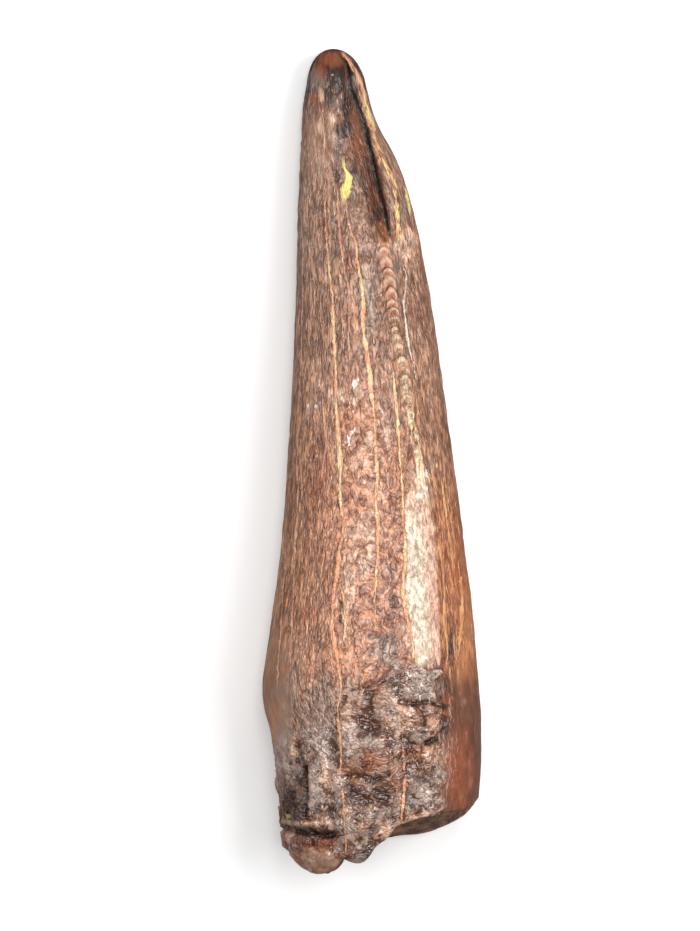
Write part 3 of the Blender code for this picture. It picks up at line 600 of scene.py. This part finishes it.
def mark_field(marks, x, y, upper):
    """Strength of one kind of mark at each point."""
    x, y = x / MM, y / MM
    total = np.zeros(len(x))
    for place_x, place_y, half_x, half_y, turn, strength in marks:
        cos, sin = math.cos(math.radians(turn)), math.sin(math.radians(turn))
        across = ((x - place_x) * cos + (y - place_y) * sin) / half_x
        along = ((y - place_y) * cos - (x - place_x) * sin) / half_y
        total = np.maximum(total, strength * np.exp(-(across ** 2 + along ** 2) ** 1.3 * 0.7))
    return total * upper


def tooth_shape(angle, run, cap):
    """Places of all ring points, and the fields that the material reads."""
    upper = ease(-0.25, 0.25, np.sin(angle))
    inward = cap ** BREAK_INWARD_POWER
    rim_x = section(angle, np.full(len(angle), UPPER_BREAK[0, 1]))[0]
    rim_y = upper * through(UPPER_BREAK, rim_x) + (1 - upper) * through(LOWER_BREAK, rim_x)
    y = TIP_Y - (TIP_Y - rim_y) * run
    x, z, out_x, out_z = section(angle, y)
    skin = np.column_stack((x, y, z))
    grain = grain_points(angle, y)
    grain[:, [0, 2]] *= 1 - inward[:, None]
    plan_x, plan_y = x, y
    chip_relief, chip = tip_chip(x, y, upper)
    cover = crust_cover(x, y, upper)
    raised = front_edge(x, y, upper) + back_edge(angle, y) + chip_relief
    raised = raised + root_crust(skin, x, y, upper, cover)
    enamel = creased(grain / (1, ENAMEL_STRETCH, 1), FINE_ENAMEL, 71)
    raised = raised + enamel * (1 - cover)
    x, z = x + out_x * raised, z + out_z * raised
    x, z = x + (BREAK_CENTRE_X - x) * inward, z + (THICKNESS / 2 - z) * inward
    places = np.column_stack((x, y, z))
    rough = layered(places, BREAK_SIZES, 31) * ease(0, 0.3, cap)
    rough = rough + layered(places, FINE_BREAK, 81) * ease(0, 0.06, cap)
    y = y + (BREAK_MIDDLE + BREAK_TILT * x - y) * ease(0, BREAK_BLEND, cap) + rough
    z = np.maximum(z, 0)
    relief = (raised * (1 - ease(0, BREAK_RIM_FADE, cap)) + rough).reshape(-1, COLUMNS)
    hollow = (relief - blurred(relief, HOLLOW_BLUR)).ravel() / MM
    lines = line_relief(plan_x, plan_y)
    from_front = plan_x - through(FRONT_EDGE, plan_y)
    fields = {
        "grain": grain / MM,
        "plan": np.column_stack((plan_x, plan_y, upper * MM)) / MM,
        "cover": np.column_stack((cover, chip, cap)),
        "relief": np.column_stack((hollow, lines * upper / MM, through(CHIP_DEPTH, plan_y) / MM)),
        "edges": np.column_stack((
            from_front, plan_x - through(CHIP_STEP_SIDE, plan_y), plan_x - through(CHIP_RIM, plan_y))) / MM,
    }
    for i, (_, points) in enumerate(SEAMS):
        fields[f"seam_{i}"] = seam_field(points, plan_x, plan_y, upper)
    marks = {name: mark_field(places, plan_x, plan_y, upper) for name, places in MARKS.items()}
    fields["marks_a"] = np.column_stack((marks["rust"], marks["dark"], marks["grey"]))
    fields["marks_b"] = np.column_stack((marks["pale"], marks["yellow"], marks["glint"]))
    beads = bead_count(from_front, plan_y, SERRATION_PITCH)
    fields["skin"] = np.column_stack((marks["worm"], marks["smooth"], beads))
    return np.column_stack((x, y, z)), fields


def ring_faces(rings):
    """Quads between rings, with a fan of triangles at the tip and in the middle of the break."""
    column = np.arange(COLUMNS)
    beside = (column + 1) % COLUMNS
    first = 1 + np.arange(rings - 1)[:, None] * COLUMNS
    here, next_one = first + column, first + beside
    quads = np.stack((here, next_one, next_one + COLUMNS, here + COLUMNS), axis=-1)
    last = 1 + (rings - 1) * COLUMNS
    middle = last + COLUMNS
    tip = [(0, 1 + int(b), 1 + int(a)) for a, b in zip(column, beside)]
    end = [(middle, last + int(a), last + int(b)) for a, b in zip(column, beside)]
    return tip + quads.reshape(-1, 4).tolist() + end


def make_tooth():
    runs = ring_runs()
    caps = np.linspace(0, 1, BREAK_RINGS + 2)[1:-1]
    run = np.concatenate((runs, np.ones(BREAK_RINGS)))
    cap = np.concatenate((np.zeros(len(runs)), caps))
    rings = len(run)
    angle = np.tile(column_angles(), rings)
    places, fields = tooth_shape(angle, np.repeat(run, COLUMNS), np.repeat(cap, COLUMNS))
    middle = places[-COLUMNS:].mean(axis=0)
    tip_x, tip_z = (through(edges[0], TIP_Y) + through(edges[1], TIP_Y) for edges in
                    ((LEFT_EDGE, RIGHT_EDGE), (BOTTOM, TOP)))
    places = np.vstack(((tip_x / 2, TIP_Y, tip_z / 2), places, middle))
    mesh = bpy.data.meshes.new("fossil_tooth")
    mesh.from_pydata(places.tolist(), [], ring_faces(rings))
    for name, values in fields.items():
        values = np.vstack((values[:COLUMNS].mean(axis=0), values, values[-COLUMNS:].mean(axis=0)))
        field = mesh.attributes.new(name, "FLOAT_VECTOR", "POINT")
        field.data.foreach_set("vector", values.ravel())
    mesh.update()
    mesh.shade_smooth()
    tooth = bpy.data.objects.new("fossil_tooth", mesh)
    bpy.context.scene.collection.objects.link(tooth)
    tooth.data.materials.append(tooth_material())
    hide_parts("tooth")
    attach(tooth, "root")


def tone(red, green, blue):
    """Linear colour of a tone given as it looks on a screen, from 0 to 255."""
    linear = [c / 255 / 12.92 if c < 11 else ((c / 255 + 0.055) / 1.055) ** 2.4 for c in (red, green, blue)]
    return (*linear, 1)


class Graph:
    """Short calls for building a material's nodes. Each returns the output socket."""

    def __init__(self, name):
        self.material = bpy.data.materials.new(name)
        self.material.use_nodes = True
        self.tree = self.material.node_tree
        self.shader = self.tree.nodes["Principled BSDF"]

    def feed(self, socket, value):
        if isinstance(value, bpy.types.NodeSocket):
            self.tree.links.new(value, socket)
        elif value is not None:
            socket.default_value = value

    def vector(self, name):
        node = self.tree.nodes.new("ShaderNodeAttribute")
        node.attribute_name = name
        return node.outputs["Vector"]

    def field(self, name):
        """The three values stored on the mesh under one name."""
        parts = self.tree.nodes.new("ShaderNodeSeparateXYZ")
        self.tree.links.new(self.vector(name), parts.inputs[0])
        return parts.outputs[0], parts.outputs[1], parts.outputs[2]

    def math(self, operation, a, b=None, c=None):
        node = self.tree.nodes.new("ShaderNodeMath")
        node.operation = operation
        for socket, value in zip(node.inputs, (a, b, c)):
            self.feed(socket, value)
        return node.outputs[0]

    def times(self, a, b):
        return self.math("MULTIPLY", a, b)

    def shift(self, amount, share, value):
        """Value moved by a share of another one."""
        return self.math("MULTIPLY_ADD", amount, share, value)

    def off(self, value, middle):
        """Distance of a value from a fixed one."""
        return self.math("ABSOLUTE", self.math("SUBTRACT", value, middle))

    def noise(self, vector, scale=(1, 1, 1), detail=2.0, roughness=0.5, distortion=0.0):
        """Noise from 0 to 1 with about `scale` hills a millimetre along each axis."""
        node = self.tree.nodes.new("ShaderNodeTexNoise")
        self.feed(node.inputs["Vector"], self.vectors("MULTIPLY", vector, scale))
        node.inputs["Scale"].default_value = 1.0
        node.inputs["Detail"].default_value = detail
        node.inputs["Roughness"].default_value = roughness
        node.inputs["Distortion"].default_value = distortion
        return node.outputs[0]

    def vectors(self, operation, a, b, output="Vector"):
        node = self.tree.nodes.new("ShaderNodeVectorMath")
        node.operation = operation
        self.feed(node.inputs[0], a)
        self.feed(node.inputs[1], b)
        return node.outputs[output]

    def facets(self, vector, scale):
        """Height of flat random facets, about `scale` of them a millimetre, and a random value of each."""
        place = self.vectors("MULTIPLY", vector, scale)
        bend = self.tree.nodes.new("ShaderNodeTexNoise")
        self.feed(bend.inputs["Vector"], place)
        bend.inputs["Scale"].default_value = 1.0
        place = self.vectors("ADD", place, bend.outputs["Color"])
        cells = self.tree.nodes.new("ShaderNodeTexVoronoi")
        self.feed(cells.inputs["Vector"], place)
        cells.inputs["Scale"].default_value = 1.0
        away = self.vectors("SUBTRACT", place, cells.outputs["Position"])
        lean = self.vectors("SUBTRACT", cells.outputs["Color"], (0.5, 0.5, 0.5))
        parts = self.tree.nodes.new("ShaderNodeSeparateXYZ")
        self.tree.links.new(cells.outputs["Color"], parts.inputs[0])
        return self.vectors("DOT_PRODUCT", away, lean, "Value"), parts.outputs[0]

    def ease(self, value, low, high, start=0.0, end=1.0):
        node = self.tree.nodes.new("ShaderNodeMapRange")
        node.interpolation_type = "SMOOTHSTEP"
        for socket, part in zip(node.inputs, (value, low, high, start, end)):
            self.feed(socket, part)
        return node.outputs[0]

    def mix(self, share, a, b, blend="MIX"):
        node = self.tree.nodes.new("ShaderNodeMix")
        node.data_type = "RGBA"
        node.blend_type = blend
        self.feed(node.inputs[0], share)
        self.feed(node.inputs[6], a)
        self.feed(node.inputs[7], b)
        return node.outputs[2]

    def blend(self, share, a, b):
        """Number between a and b."""
        node = self.tree.nodes.new("ShaderNodeMix")
        node.data_type = "FLOAT"
        self.feed(node.inputs[0], share)
        self.feed(node.inputs[2], a)
        self.feed(node.inputs[3], b)
        return node.outputs[0]

    def bump(self, height, distance):
        node = self.tree.nodes.new("ShaderNodeBump")
        self.feed(node.inputs["Height"], height)
        node.inputs["Distance"].default_value = distance
        return node.outputs[0]


def tooth_material():
    g = Graph("fossil_enamel")
    grain = g.vector("grain")
    _, plan_y, upper = g.field("plan")
    cover, chip, cap = g.field("cover")
    hollow, lines, chip_depth = g.field("relief")
    front, step, rim = g.field("edges")
    rust, dark, grey = g.field("marks_a")
    pale, yellow, glint = g.field("marks_b")
    worm, smooth, beads = g.field("skin")

    # Wrinkles: lengthwise strokes on the flanks, shorter and more crooked in the middle.
    streaks = g.noise(grain, (7.0, 2.4, 7.0), 2.0, 0.55, 0.5)
    squirm = g.noise(grain, (7.4, 3.3, 7.4), 2.5, 0.58, 0.4)
    crooked = g.ease(worm, 0.15, 0.8)
    wrinkles = g.blend(crooked, streaks, squirm)
    stroke_height, stroke = g.facets(grain, (6.0, 1.9, 6.0))
    wrinkles = g.math("ADD", wrinkles, g.shift(stroke, 0.14, -0.07))
    crease_shade = g.ease(g.off(wrinkles, 0.49), 0.045, 0.005)
    ragged = g.math("SUBTRACT", g.noise(grain, (2.6, 1.3, 2.6), 5, 0.68), 0.5)
    patches = g.noise(grain, (0.9, 0.4, 0.9), 3, 0.6)

    def tint(field, low=0.15, high=0.85, amount=1.0):
        """Share of a listed mark, with a ragged edge."""
        return g.ease(g.shift(ragged, 2.4, field), low, high, 0.0, amount)

    # Broad colour: dark at the tip, brown above, salmon in the middle (partly the enamel's tone, partly
    # painted sheen), orange and then brown on the right, with painted shade on the upper right flank.
    colour = g.mix(g.ease(plan_y, 10, -6), tone(180, 137, 113), tone(190, 134, 100))
    colour = g.mix(g.ease(plan_y, 12.4, 14.4), colour, tone(70, 43, 34))
    # Salmon middle: partly the enamel's own tone and partly painted sheen.
    colour = g.mix(g.times(crooked, 0.9), colour, tone(218, 154, 120))
    lower_flank = g.times(g.ease(front, 0.02, 0.25), g.times(upper, g.ease(plan_y, 0.5, -3.0)))
    colour = g.mix(lower_flank, colour, tone(210, 136, 86))
    # Painted shade: the right flank past the cutting edge is darkened a little in its upper part.
    shaded = g.times(g.ease(front, 0.10, 0.45), g.times(upper, g.ease(plan_y, -3.5, -1.5)))
    colour = g.mix(shaded, colour, g.mix(1.0, colour, (0.96, 0.94, 0.92, 1), "MULTIPLY"))
    base_flank = g.times(g.times(g.ease(front, -0.35, -0.05), upper),
                        g.ease(g.shift(ragged, 2.5, plan_y), -6.9, -9.0))
    colour = g.mix(base_flank, colour, tone(122, 76, 53))
    colour = g.mix(g.ease(patches, 0.40, 0.64), colour, g.mix(1.0, colour, (0.70, 0.62, 0.56, 1), "MULTIPLY"))
    for mark, amount, shade in ((grey, 0.75, (150, 130, 116)), (rust, 0.8, (158, 84, 50)),
                                (pale, 0.8, (244, 204, 174)), (dark, 0.85, (62, 42, 34))):
        colour = g.mix(tint(mark, amount=amount), colour, tone(*shade))

    # Worn ribbon along the lower cutting edge, cream and polished: partly paler worn enamel and partly a
    # painted highlight from the lamp on its polished facet.
    seam_third = g.field("seam_4")[0]
    ribbon = g.times(g.ease(seam_third, 0.02, 0.14), g.ease(g.shift(ragged, 0.20, front), 0.10, 0.0))
    along = g.times(g.ease(g.shift(ragged, 1.2, plan_y), -1.3, -2.6), g.ease(plan_y, -7.9, -7.3))
    ribbon = g.times(g.times(ribbon, along), upper)
    worn_sheen_tone = g.mix(g.ease(front, -0.65, -0.10), tone(252, 232, 204), tone(230, 178, 150))
    colour = g.mix(g.times(ribbon, 0.92), colour, worn_sheen_tone)

    # Light and dark of the wrinkles, weaker on the ribbon and on the smooth base: partly the enamel's own
    # mottling, and partly painted shade in the troughs and creases and painted highlight on the crests.
    plain = g.math("MAXIMUM", g.times(ribbon, 0.35), g.ease(smooth, 0.2, 0.8))
    deep = g.mix(crooked, (0.52, 0.41, 0.34, 1), (0.40, 0.28, 0.21, 1))
    mottle_and_shade = g.mix(g.ease(wrinkles, 0.36, 0.50), deep, (1.0, 1.0, 1.0, 1))
    mottle_and_shade = g.mix(g.ease(wrinkles, 0.52, 0.66), mottle_and_shade, (1.50, 1.48, 1.46, 1))
    # Painted shade in the thin creases.
    mottle_and_shade = g.mix(g.times(crease_shade, 0.55), mottle_and_shade, (0.34, 0.22, 0.17, 1))
    mottle_and_shade = g.mix(g.times(plain, 0.75), mottle_and_shade, (1.0, 1.0, 1.0, 1))
    colour = g.mix(1.0, colour, mottle_and_shade, "MULTIPLY")
    flecks = g.ease(g.noise(grain, (5.4, 0.9, 5.4), 3, 0.6), 0.595, 0.645, 0, 0.85)
    flecks = g.times(flecks, g.math("SUBTRACT", 1.0, g.math("MAXIMUM", crooked, plain)))
    colour = g.mix(flecks, colour, g.mix(g.ease(plan_y, 8, -4), tone(228, 168, 136), tone(255, 180, 116)))

    # Crust: grey and brown lumps, with painted highlight making them pale on their crests and painted shade
    # making them nearly black in the creases.
    lumpy = g.noise(grain, (5.0, 4.4, 5.0), 3, 0.62, 0.6)
    crust_patches = g.noise(grain, (1.1, 1.0, 1.1), 4, 0.62)
    crust = g.mix(g.ease(crust_patches, 0.38, 0.60), tone(162, 140, 128), tone(142, 98, 74))
    for mark, amount, shade in ((rust, 0.85, (140, 78, 48)), (grey, 0.8, (194, 174, 164)),
                                (pale, 0.7, (216, 172, 144)), (dark, 0.85, (66, 42, 36))):
        crust = g.mix(tint(mark, amount=amount), crust, tone(*shade))
    crest = g.shift(hollow, 8.0, lumpy)
    folds = g.off(g.noise(grain, (5.4, 4.8, 5.4), 1.5, 0.5, 0.6), 0.5)
    # Painted shade in the hollows and painted highlight on the crests of the mesh's own relief.
    crust_tone_and_shade = g.mix(g.ease(crest, 0.22, 0.52), (0.28, 0.19, 0.15, 1), (1.0, 1.0, 1.0, 1))
    crust_tone_and_shade = g.mix(g.ease(crest, 0.54, 0.84), crust_tone_and_shade, (1.55, 1.52, 1.50, 1))
    flake_height, flake = g.facets(grain, (3.4, 3.0, 3.4))
    crust_tone_and_shade = g.mix(g.ease(flake, 0.30, 0.20, 0, 0.6), crust_tone_and_shade, (0.46, 0.34, 0.28, 1))
    # Painted shade in the thin folds and painted highlight on their ridges, following the folds of the bump.
    crust_tone_and_shade = g.mix(g.ease(folds, 0.035, 0.005, 0, 0.8), crust_tone_and_shade, (0.34, 0.22, 0.17, 1))
    crust_tone_and_shade = g.mix(g.ease(folds, 0.11, 0.17, 0, 0.6), crust_tone_and_shade, (1.70, 1.58, 1.46, 1))
    crust_tone_and_shade = g.mix(g.times(plain, 0.6), crust_tone_and_shade, (1.0, 1.0, 1.0, 1))
    crust = g.mix(1.0, crust, crust_tone_and_shade, "MULTIPLY")
    crust = g.mix(g.ease(flake, 0.84, 0.92, 0, 0.3), crust, tone(206, 186, 172))
    # Painted shade in the grooves and painted highlight on the ridges that cross the crust.
    broken_lines = g.shift(ragged, 0.55, lines)
    crust = g.mix(g.ease(broken_lines, -0.12, -0.24, 0, 0.75), crust, tone(58, 38, 30))
    crust = g.mix(g.ease(broken_lines, 0.12, 0.22, 0, 0.7), crust, tone(226, 180, 152))
    crusted = g.ease(g.shift(ragged, 1.6, cover), 0.2, 0.7)
    colour = g.mix(crusted, colour, crust)

    # Chip: rust brown floor, painted shade along its step, and the pale broken rim.
    floor_streaks = g.noise(grain, (4.2, 0.9, 4.2), 3, 0.65, 0.8)
    floor = g.mix(g.ease(floor_streaks, 0.38, 0.62), tone(48, 33, 26), tone(136, 82, 54))
    floor = g.mix(g.ease(ragged, 0.02, 0.16), floor, tone(44, 32, 26))
    floor = g.mix(tint(grey, amount=0.8), floor, g.mix(wrinkles, tone(70, 66, 62), tone(142, 132, 122)))
    floor = g.mix(tint(rust, amount=0.7), floor, g.mix(wrinkles, tone(120, 62, 34), tone(190, 118, 74)))
    floor = g.mix(tint(dark, amount=0.8), floor, tone(32, 25, 22))
    colour = g.mix(g.ease(g.shift(ragged, 0.8, chip), 0.2, 0.6, 0, 0.94), colour, floor)
    # Painted shade: a near-black line along the step.
    step_wobble = g.shift(ragged, 0.06, step)
    step_shade = g.times(g.ease(step_wobble, -0.11, 0.00), g.ease(step_wobble, 0.06, 0.02))
    step_shade = g.times(step_shade, g.ease(chip_depth, 0.04, 0.14))
    colour = g.mix(g.times(step_shade, upper), colour, tone(22, 18, 13))
    broken = g.noise(grain, (1.6, 1.5, 1.6), 4, 0.7)
    rim_wobble = g.math("ABSOLUTE", g.shift(ragged, 0.30, rim))
    on_rim = g.ease(g.math("DIVIDE", rim_wobble, g.ease(broken, 0.3, 0.7, 0.04, 0.11)), 1.3, 0.7)
    on_rim = g.times(g.times(on_rim, upper), g.ease(chip_depth, 0.02, 0.08))
    rim_tone = g.mix(g.ease(plan_y, 14.2, 13.4), tone(246, 190, 150), tone(255, 226, 146))
    rim_tone = g.mix(g.ease(wrinkles, 0.56, 0.44), rim_tone, tone(240, 166, 122))
    colour = g.mix(on_rim, colour, g.mix(g.ease(wrinkles, 0.44, 0.38, 0, 0.8), rim_tone, tone(150, 104, 76)))

    # Serrations: pale beads, with a painted highlight on the tip side of each and painted shade in the cuts
    # between, worn to a ragged cream ridge further down.
    chevron = g.shift(g.times(front, front), 2.5 * MM / SERRATION_PITCH, beads)
    phase = g.math("FRACT", chevron)
    own = g.tree.nodes.new("ShaderNodeTexWhiteNoise")
    own.noise_dimensions = "1D"
    g.feed(own.inputs["W"], g.math("FLOOR", chevron))
    own = own.outputs["Value"]
    row = g.times(g.ease(plan_y, SERRATED[1] / MM - 1.4, SERRATED[1] / MM + 0.6),
                 g.ease(plan_y, SERRATED[0] / MM + 0.1, SERRATED[0] / MM - 0.1))
    worn = g.ease(plan_y, 4.2, 0.8)
    edge_wobble = g.math("ABSOLUTE", g.shift(ragged, g.blend(worn, 0.16, 0.42), front))
    half_row = g.blend(worn, g.ease(plan_y, 4.0, 6.5, 0.15, 0.23), 0.13)
    on_keel = g.ease(g.math("DIVIDE", edge_wobble, half_row), 1.15, 0.80)
    on_keel = g.times(g.times(on_keel, row), upper)
    clumps = g.noise(grain, (2.2, 3.6, 2.2), 3, 0.6)
    on_keel = g.times(on_keel, g.blend(g.ease(plan_y, 6.4, 5.0), 1.0, g.ease(clumps, 0.38, 0.50)))
    # Painted highlight: the pale tone on the tip side of each bead.
    light = g.mix(g.ease(plan_y, 6.5, 4.0), tone(255, 206, 172), tone(255, 232, 196))
    mid = g.mix(g.ease(plan_y, 6.5, 1.5), tone(226, 152, 120), tone(214, 156, 120))
    bead = g.mix(g.ease(phase, g.ease(own, 0, 1, 0.10, 0.36), 0.55), mid, light)
    bead = g.mix(worn, bead, g.mix(g.ease(wrinkles, 0.40, 0.52), tone(232, 168, 120), tone(255, 240, 196)))
    # Painted shade in the cuts between the beads and in the ragged ridge's cuts.
    cut_shade = g.math("MAXIMUM", g.ease(phase, 0.13, 0.02), g.ease(phase, 0.76, 0.90))
    cut_shade = g.times(cut_shade, g.ease(own, 0.1, 0.8, 0.35, 0.9))
    cut_shade = g.times(cut_shade, g.blend(worn, 1.0, 0.3))
    cut_shade = g.math("MAXIMUM", cut_shade, g.times(g.ease(wrinkles, 0.42, 0.32), g.blend(worn, 0.3, 0.8)))
    colour = g.mix(g.times(on_keel, 0.9), colour, bead)
    colour = g.mix(g.times(on_keel, cut_shade), colour, tone(84, 48, 35))

    # Pale seams with thin dark borders, brighter in some stretches, and covered in places by the crust.
    fine = g.math("SUBTRACT", g.noise(grain, (9.0, 4.0, 9.0), 2, 0.6), 0.5)
    stretches = g.noise(grain, (0.7, 0.7, 0.7), 3, 0.7)
    uncovered = g.blend(g.times(crusted, 0.85), 1.0, g.ease(broken, 0.40, 0.54))
    seams = 0.0
    for i, (tone_name, _) in enumerate(SEAMS):
        distance, strength, width = g.field(f"seam_{i}")
        strength = g.times(strength, uncovered)
        distance = g.shift(ragged, 0.20, distance)
        distance = g.math("ABSOLUTE", g.shift(fine, 0.12, distance))
        far = g.math("DIVIDE", distance, g.times(width, g.ease(broken, 0.3, 0.65, 0.42, 1.0)))
        line = g.times(g.ease(far, 1.25, 0.7), strength)
        border = g.times(g.ease(far, 2.6, 1.2), strength)
        low, high = SEAM_TONES[tone_name]
        bright = g.times(g.ease(stretches, 0.40, 0.58), g.shift(crusted, -0.8, 1.0))
        colour = g.mix(g.times(border, 0.45), colour, tone(86, 50, 36))
        colour = g.mix(line, colour, g.mix(bright, tone(*low), tone(*high)))
        seams = g.math("MAXIMUM", seams, line)

    # Long cracks on the sides that are not seen from above, some of them filled with pale mineral.
    on_break = g.ease(cap, 0.0, 0.03)
    split = g.off(g.noise(grain, (0.9, 0.05, 0.9), 2, 0.5, 0.3), 0.5)
    hidden = g.times(g.ease(upper, 0.8, 0.2), g.math("SUBTRACT", 1.0, on_break))
    filled = g.mix(g.ease(stretches, 0.44, 0.56), tone(74, 46, 34), tone(240, 178, 132))
    colour = g.mix(g.times(g.ease(split, 0.020, 0.008), hidden), colour, tone(84, 52, 38))
    colour = g.mix(g.times(g.ease(split, 0.009, 0.004), hidden), colour, filled)

    # Yellow grains, and painted glints: white flecks on the crests of the wrinkles.
    grains = g.times(tint(yellow, 0.5, 0.72), g.shift(crusted, -0.45, 1.0))
    grain_tone = g.mix(g.ease(wrinkles, 0.36, 0.5), tone(206, 140, 70), tone(255, 214, 120))
    colour = g.mix(grains, colour, grain_tone)
    painted_glint = g.ease(g.shift(glint, 0.20, squirm), 0.70, 0.74)
    painted_glint = g.times(painted_glint, g.ease(glint, 0.1, 0.3))
    colour = g.mix(painted_glint, colour, tone(255, 246, 236))

    # Broken end: brown dentine in rings round a sandy core, with painted shade in its hollows and painted
    # highlight on its crests.
    rings = g.noise(g.vector("cover"), (0, 0, 16), 2)
    broken_end = g.mix(g.ease(rings, 0.3, 0.7), tone(102, 66, 46), tone(158, 106, 70))
    broken_end = g.mix(g.ease(crest, 0.44, 0.16, 0, 0.6), broken_end, tone(60, 40, 30))
    broken_end = g.mix(g.ease(crest, 0.60, 0.90, 0, 0.4), broken_end, tone(190, 136, 90))
    broken_end = g.mix(g.ease(g.shift(ragged, 0.3, cap), 0.60, 0.78, 0, 0.8), broken_end, tone(140, 122, 104))
    colour = g.mix(on_break, colour, broken_end)

    g.feed(g.shader.inputs["Base Color"], colour)
    roughness = g.ease(wrinkles, 0.3, 0.7, 0.38, 0.28)
    roughness = g.blend(base_flank, roughness, 0.34)
    roughness = g.blend(crusted, roughness, g.ease(crust_patches, 0.35, 0.65, 0.14, 0.24))
    roughness = g.blend(on_break, roughness, 0.5)
    roughness = g.blend(g.ease(chip, 0.3, 0.8), roughness, 0.34)
    g.feed(g.shader.inputs["Roughness"], roughness)
    g.shader.inputs["IOR"].default_value = 1.72

    # Relief finer than the mesh: the skin swells between its creases, so that the gloss breaks into glints.
    swell = g.blend(crooked, g.noise(grain, (6.4, 1.8, 6.4), 1.5, 0.5, 0.5),
                    g.noise(grain, (6.4, 2.9, 6.4), 1.5, 0.5, 0.4))
    height = g.ease(g.off(swell, 0.5), -0.02, 0.14)
    height = g.shift(stroke_height, 1.2, height)
    flaked = g.shift(flake_height, 5.0, g.ease(folds, -0.02, 0.16, 0.0, 0.8))
    height = g.blend(crusted, height, flaked)
    height = g.blend(g.times(plain, 0.75), height, 0.6)
    height = g.shift(seams, 0.3, height)
    g.feed(g.shader.inputs["Normal"], g.bump(height, BUMP_HEIGHT))
    return g.material


FLOOR_SIZE = 2.0
FLOOR_GLOW = 0.25


def floor_material():
    g = Graph("pale_floor")
    place = g.tree.nodes.new("ShaderNodeTexCoord").outputs["Object"]
    shade = g.ease(g.noise(place, (30, 30, 30), 4), 0.3, 0.7)
    pale = tone(252, 252, 252)
    dimmer = (*(0.985 * c for c in pale[:3]), 1)
    g.feed(g.shader.inputs["Base Color"], g.mix(shade, pale, dimmer))
    g.shader.inputs["Roughness"].default_value = 0.9
    g.shader.inputs["Specular IOR Level"].default_value = 0.2
    g.shader.inputs["Emission Color"].default_value = (1, 1, 1, 1)
    g.shader.inputs["Emission Strength"].default_value = FLOOR_GLOW
    return g.material


def make_floor():
    mesh = bpy.data.meshes.new("floor")
    h = FLOOR_SIZE / 2
    mesh.from_pydata([(-h, -h, 0), (h, -h, 0), (h, h, 0), (-h, h, 0)], [], [(0, 1, 2, 3)])
    floor = bpy.data.objects.new("floor", mesh)
    bpy.context.scene.collection.objects.link(floor)
    mesh.materials.append(floor_material())
    floor.visible_glossy = False


# The photograph's frame: its size, the pixel over the tooth's middle, and pixels a millimetre.
FRAME_WIDTH, FRAME_HEIGHT = 700, 931
MIDDLE_PIXEL = (372.0, 460.5)
PIXELS_A_MM = 26.6
FOCAL_LENGTH = 1000.0
SENSOR = 36.0
SIGHT_HEIGHT = 2.6 * MM


def make_camera():
    """Camera straight above, its frame set so that the tooth falls where the photograph has it."""
    data = bpy.data.cameras.new("camera")
    data.lens = FOCAL_LENGTH
    data.sensor_width = SENSOR
    data.clip_start = 0.005
    data.clip_end = 10
    camera = bpy.data.objects.new("camera", data)
    bpy.context.scene.collection.objects.link(camera)
    frame_height = FRAME_HEIGHT / PIXELS_A_MM * MM
    away = frame_height * FOCAL_LENGTH / SENSOR
    x = (FRAME_WIDTH / 2 - MIDDLE_PIXEL[0]) / PIXELS_A_MM * MM
    y = (MIDDLE_PIXEL[1] - FRAME_HEIGHT / 2) / PIXELS_A_MM * MM
    camera.location = (x, y, SIGHT_HEIGHT + away)
    bpy.context.scene.camera = camera


# Soft lights: name, direction from the tooth, distance, width, length along Y, and brightness.
LIGHTS = [
    ("overhead", (0.02, 0.08, 1.00), 0.30, 0.05, 0.12, 12.0),
    ("key", (0.52, 0.08, 0.85), 0.30, 0.14, 0.14, 8.0),
    ("upper", (0.16, 0.50, 0.85), 0.30, 0.10, 0.05, 10.0),
    ("fill", (-0.60, 0.20, 0.77), 0.30, 0.06, 0.12, 5.4),
]
WORLD_STRENGTH = 0.15


def make_lights():
    for name, direction, away, width, length, brightness in LIGHTS:
        data = bpy.data.lights.new(name, "AREA")
        data.shape = "RECTANGLE"
        data.size = width
        data.size_y = length
        data.energy = math.pi * width * length * brightness
        light = bpy.data.objects.new(name, data)
        direction = Vector(direction).normalized()
        light.location = direction * away
        light.rotation_euler = direction.to_track_quat("Z", "Y").to_euler()
        light.visible_camera = False
        bpy.context.scene.collection.objects.link(light)


def make_world():
    world = bpy.data.worlds.new("pale_room")
    bpy.context.scene.world = world
    world.use_nodes = True
    background = world.node_tree.nodes["Background"]
    background.inputs["Color"].default_value = (1, 1, 1, 1)
    background.inputs["Strength"].default_value = WORLD_STRENGTH


bpy.context.scene.view_settings.view_transform = "Standard"
make_tooth()
make_floor()
make_camera()
make_lights()
make_world()
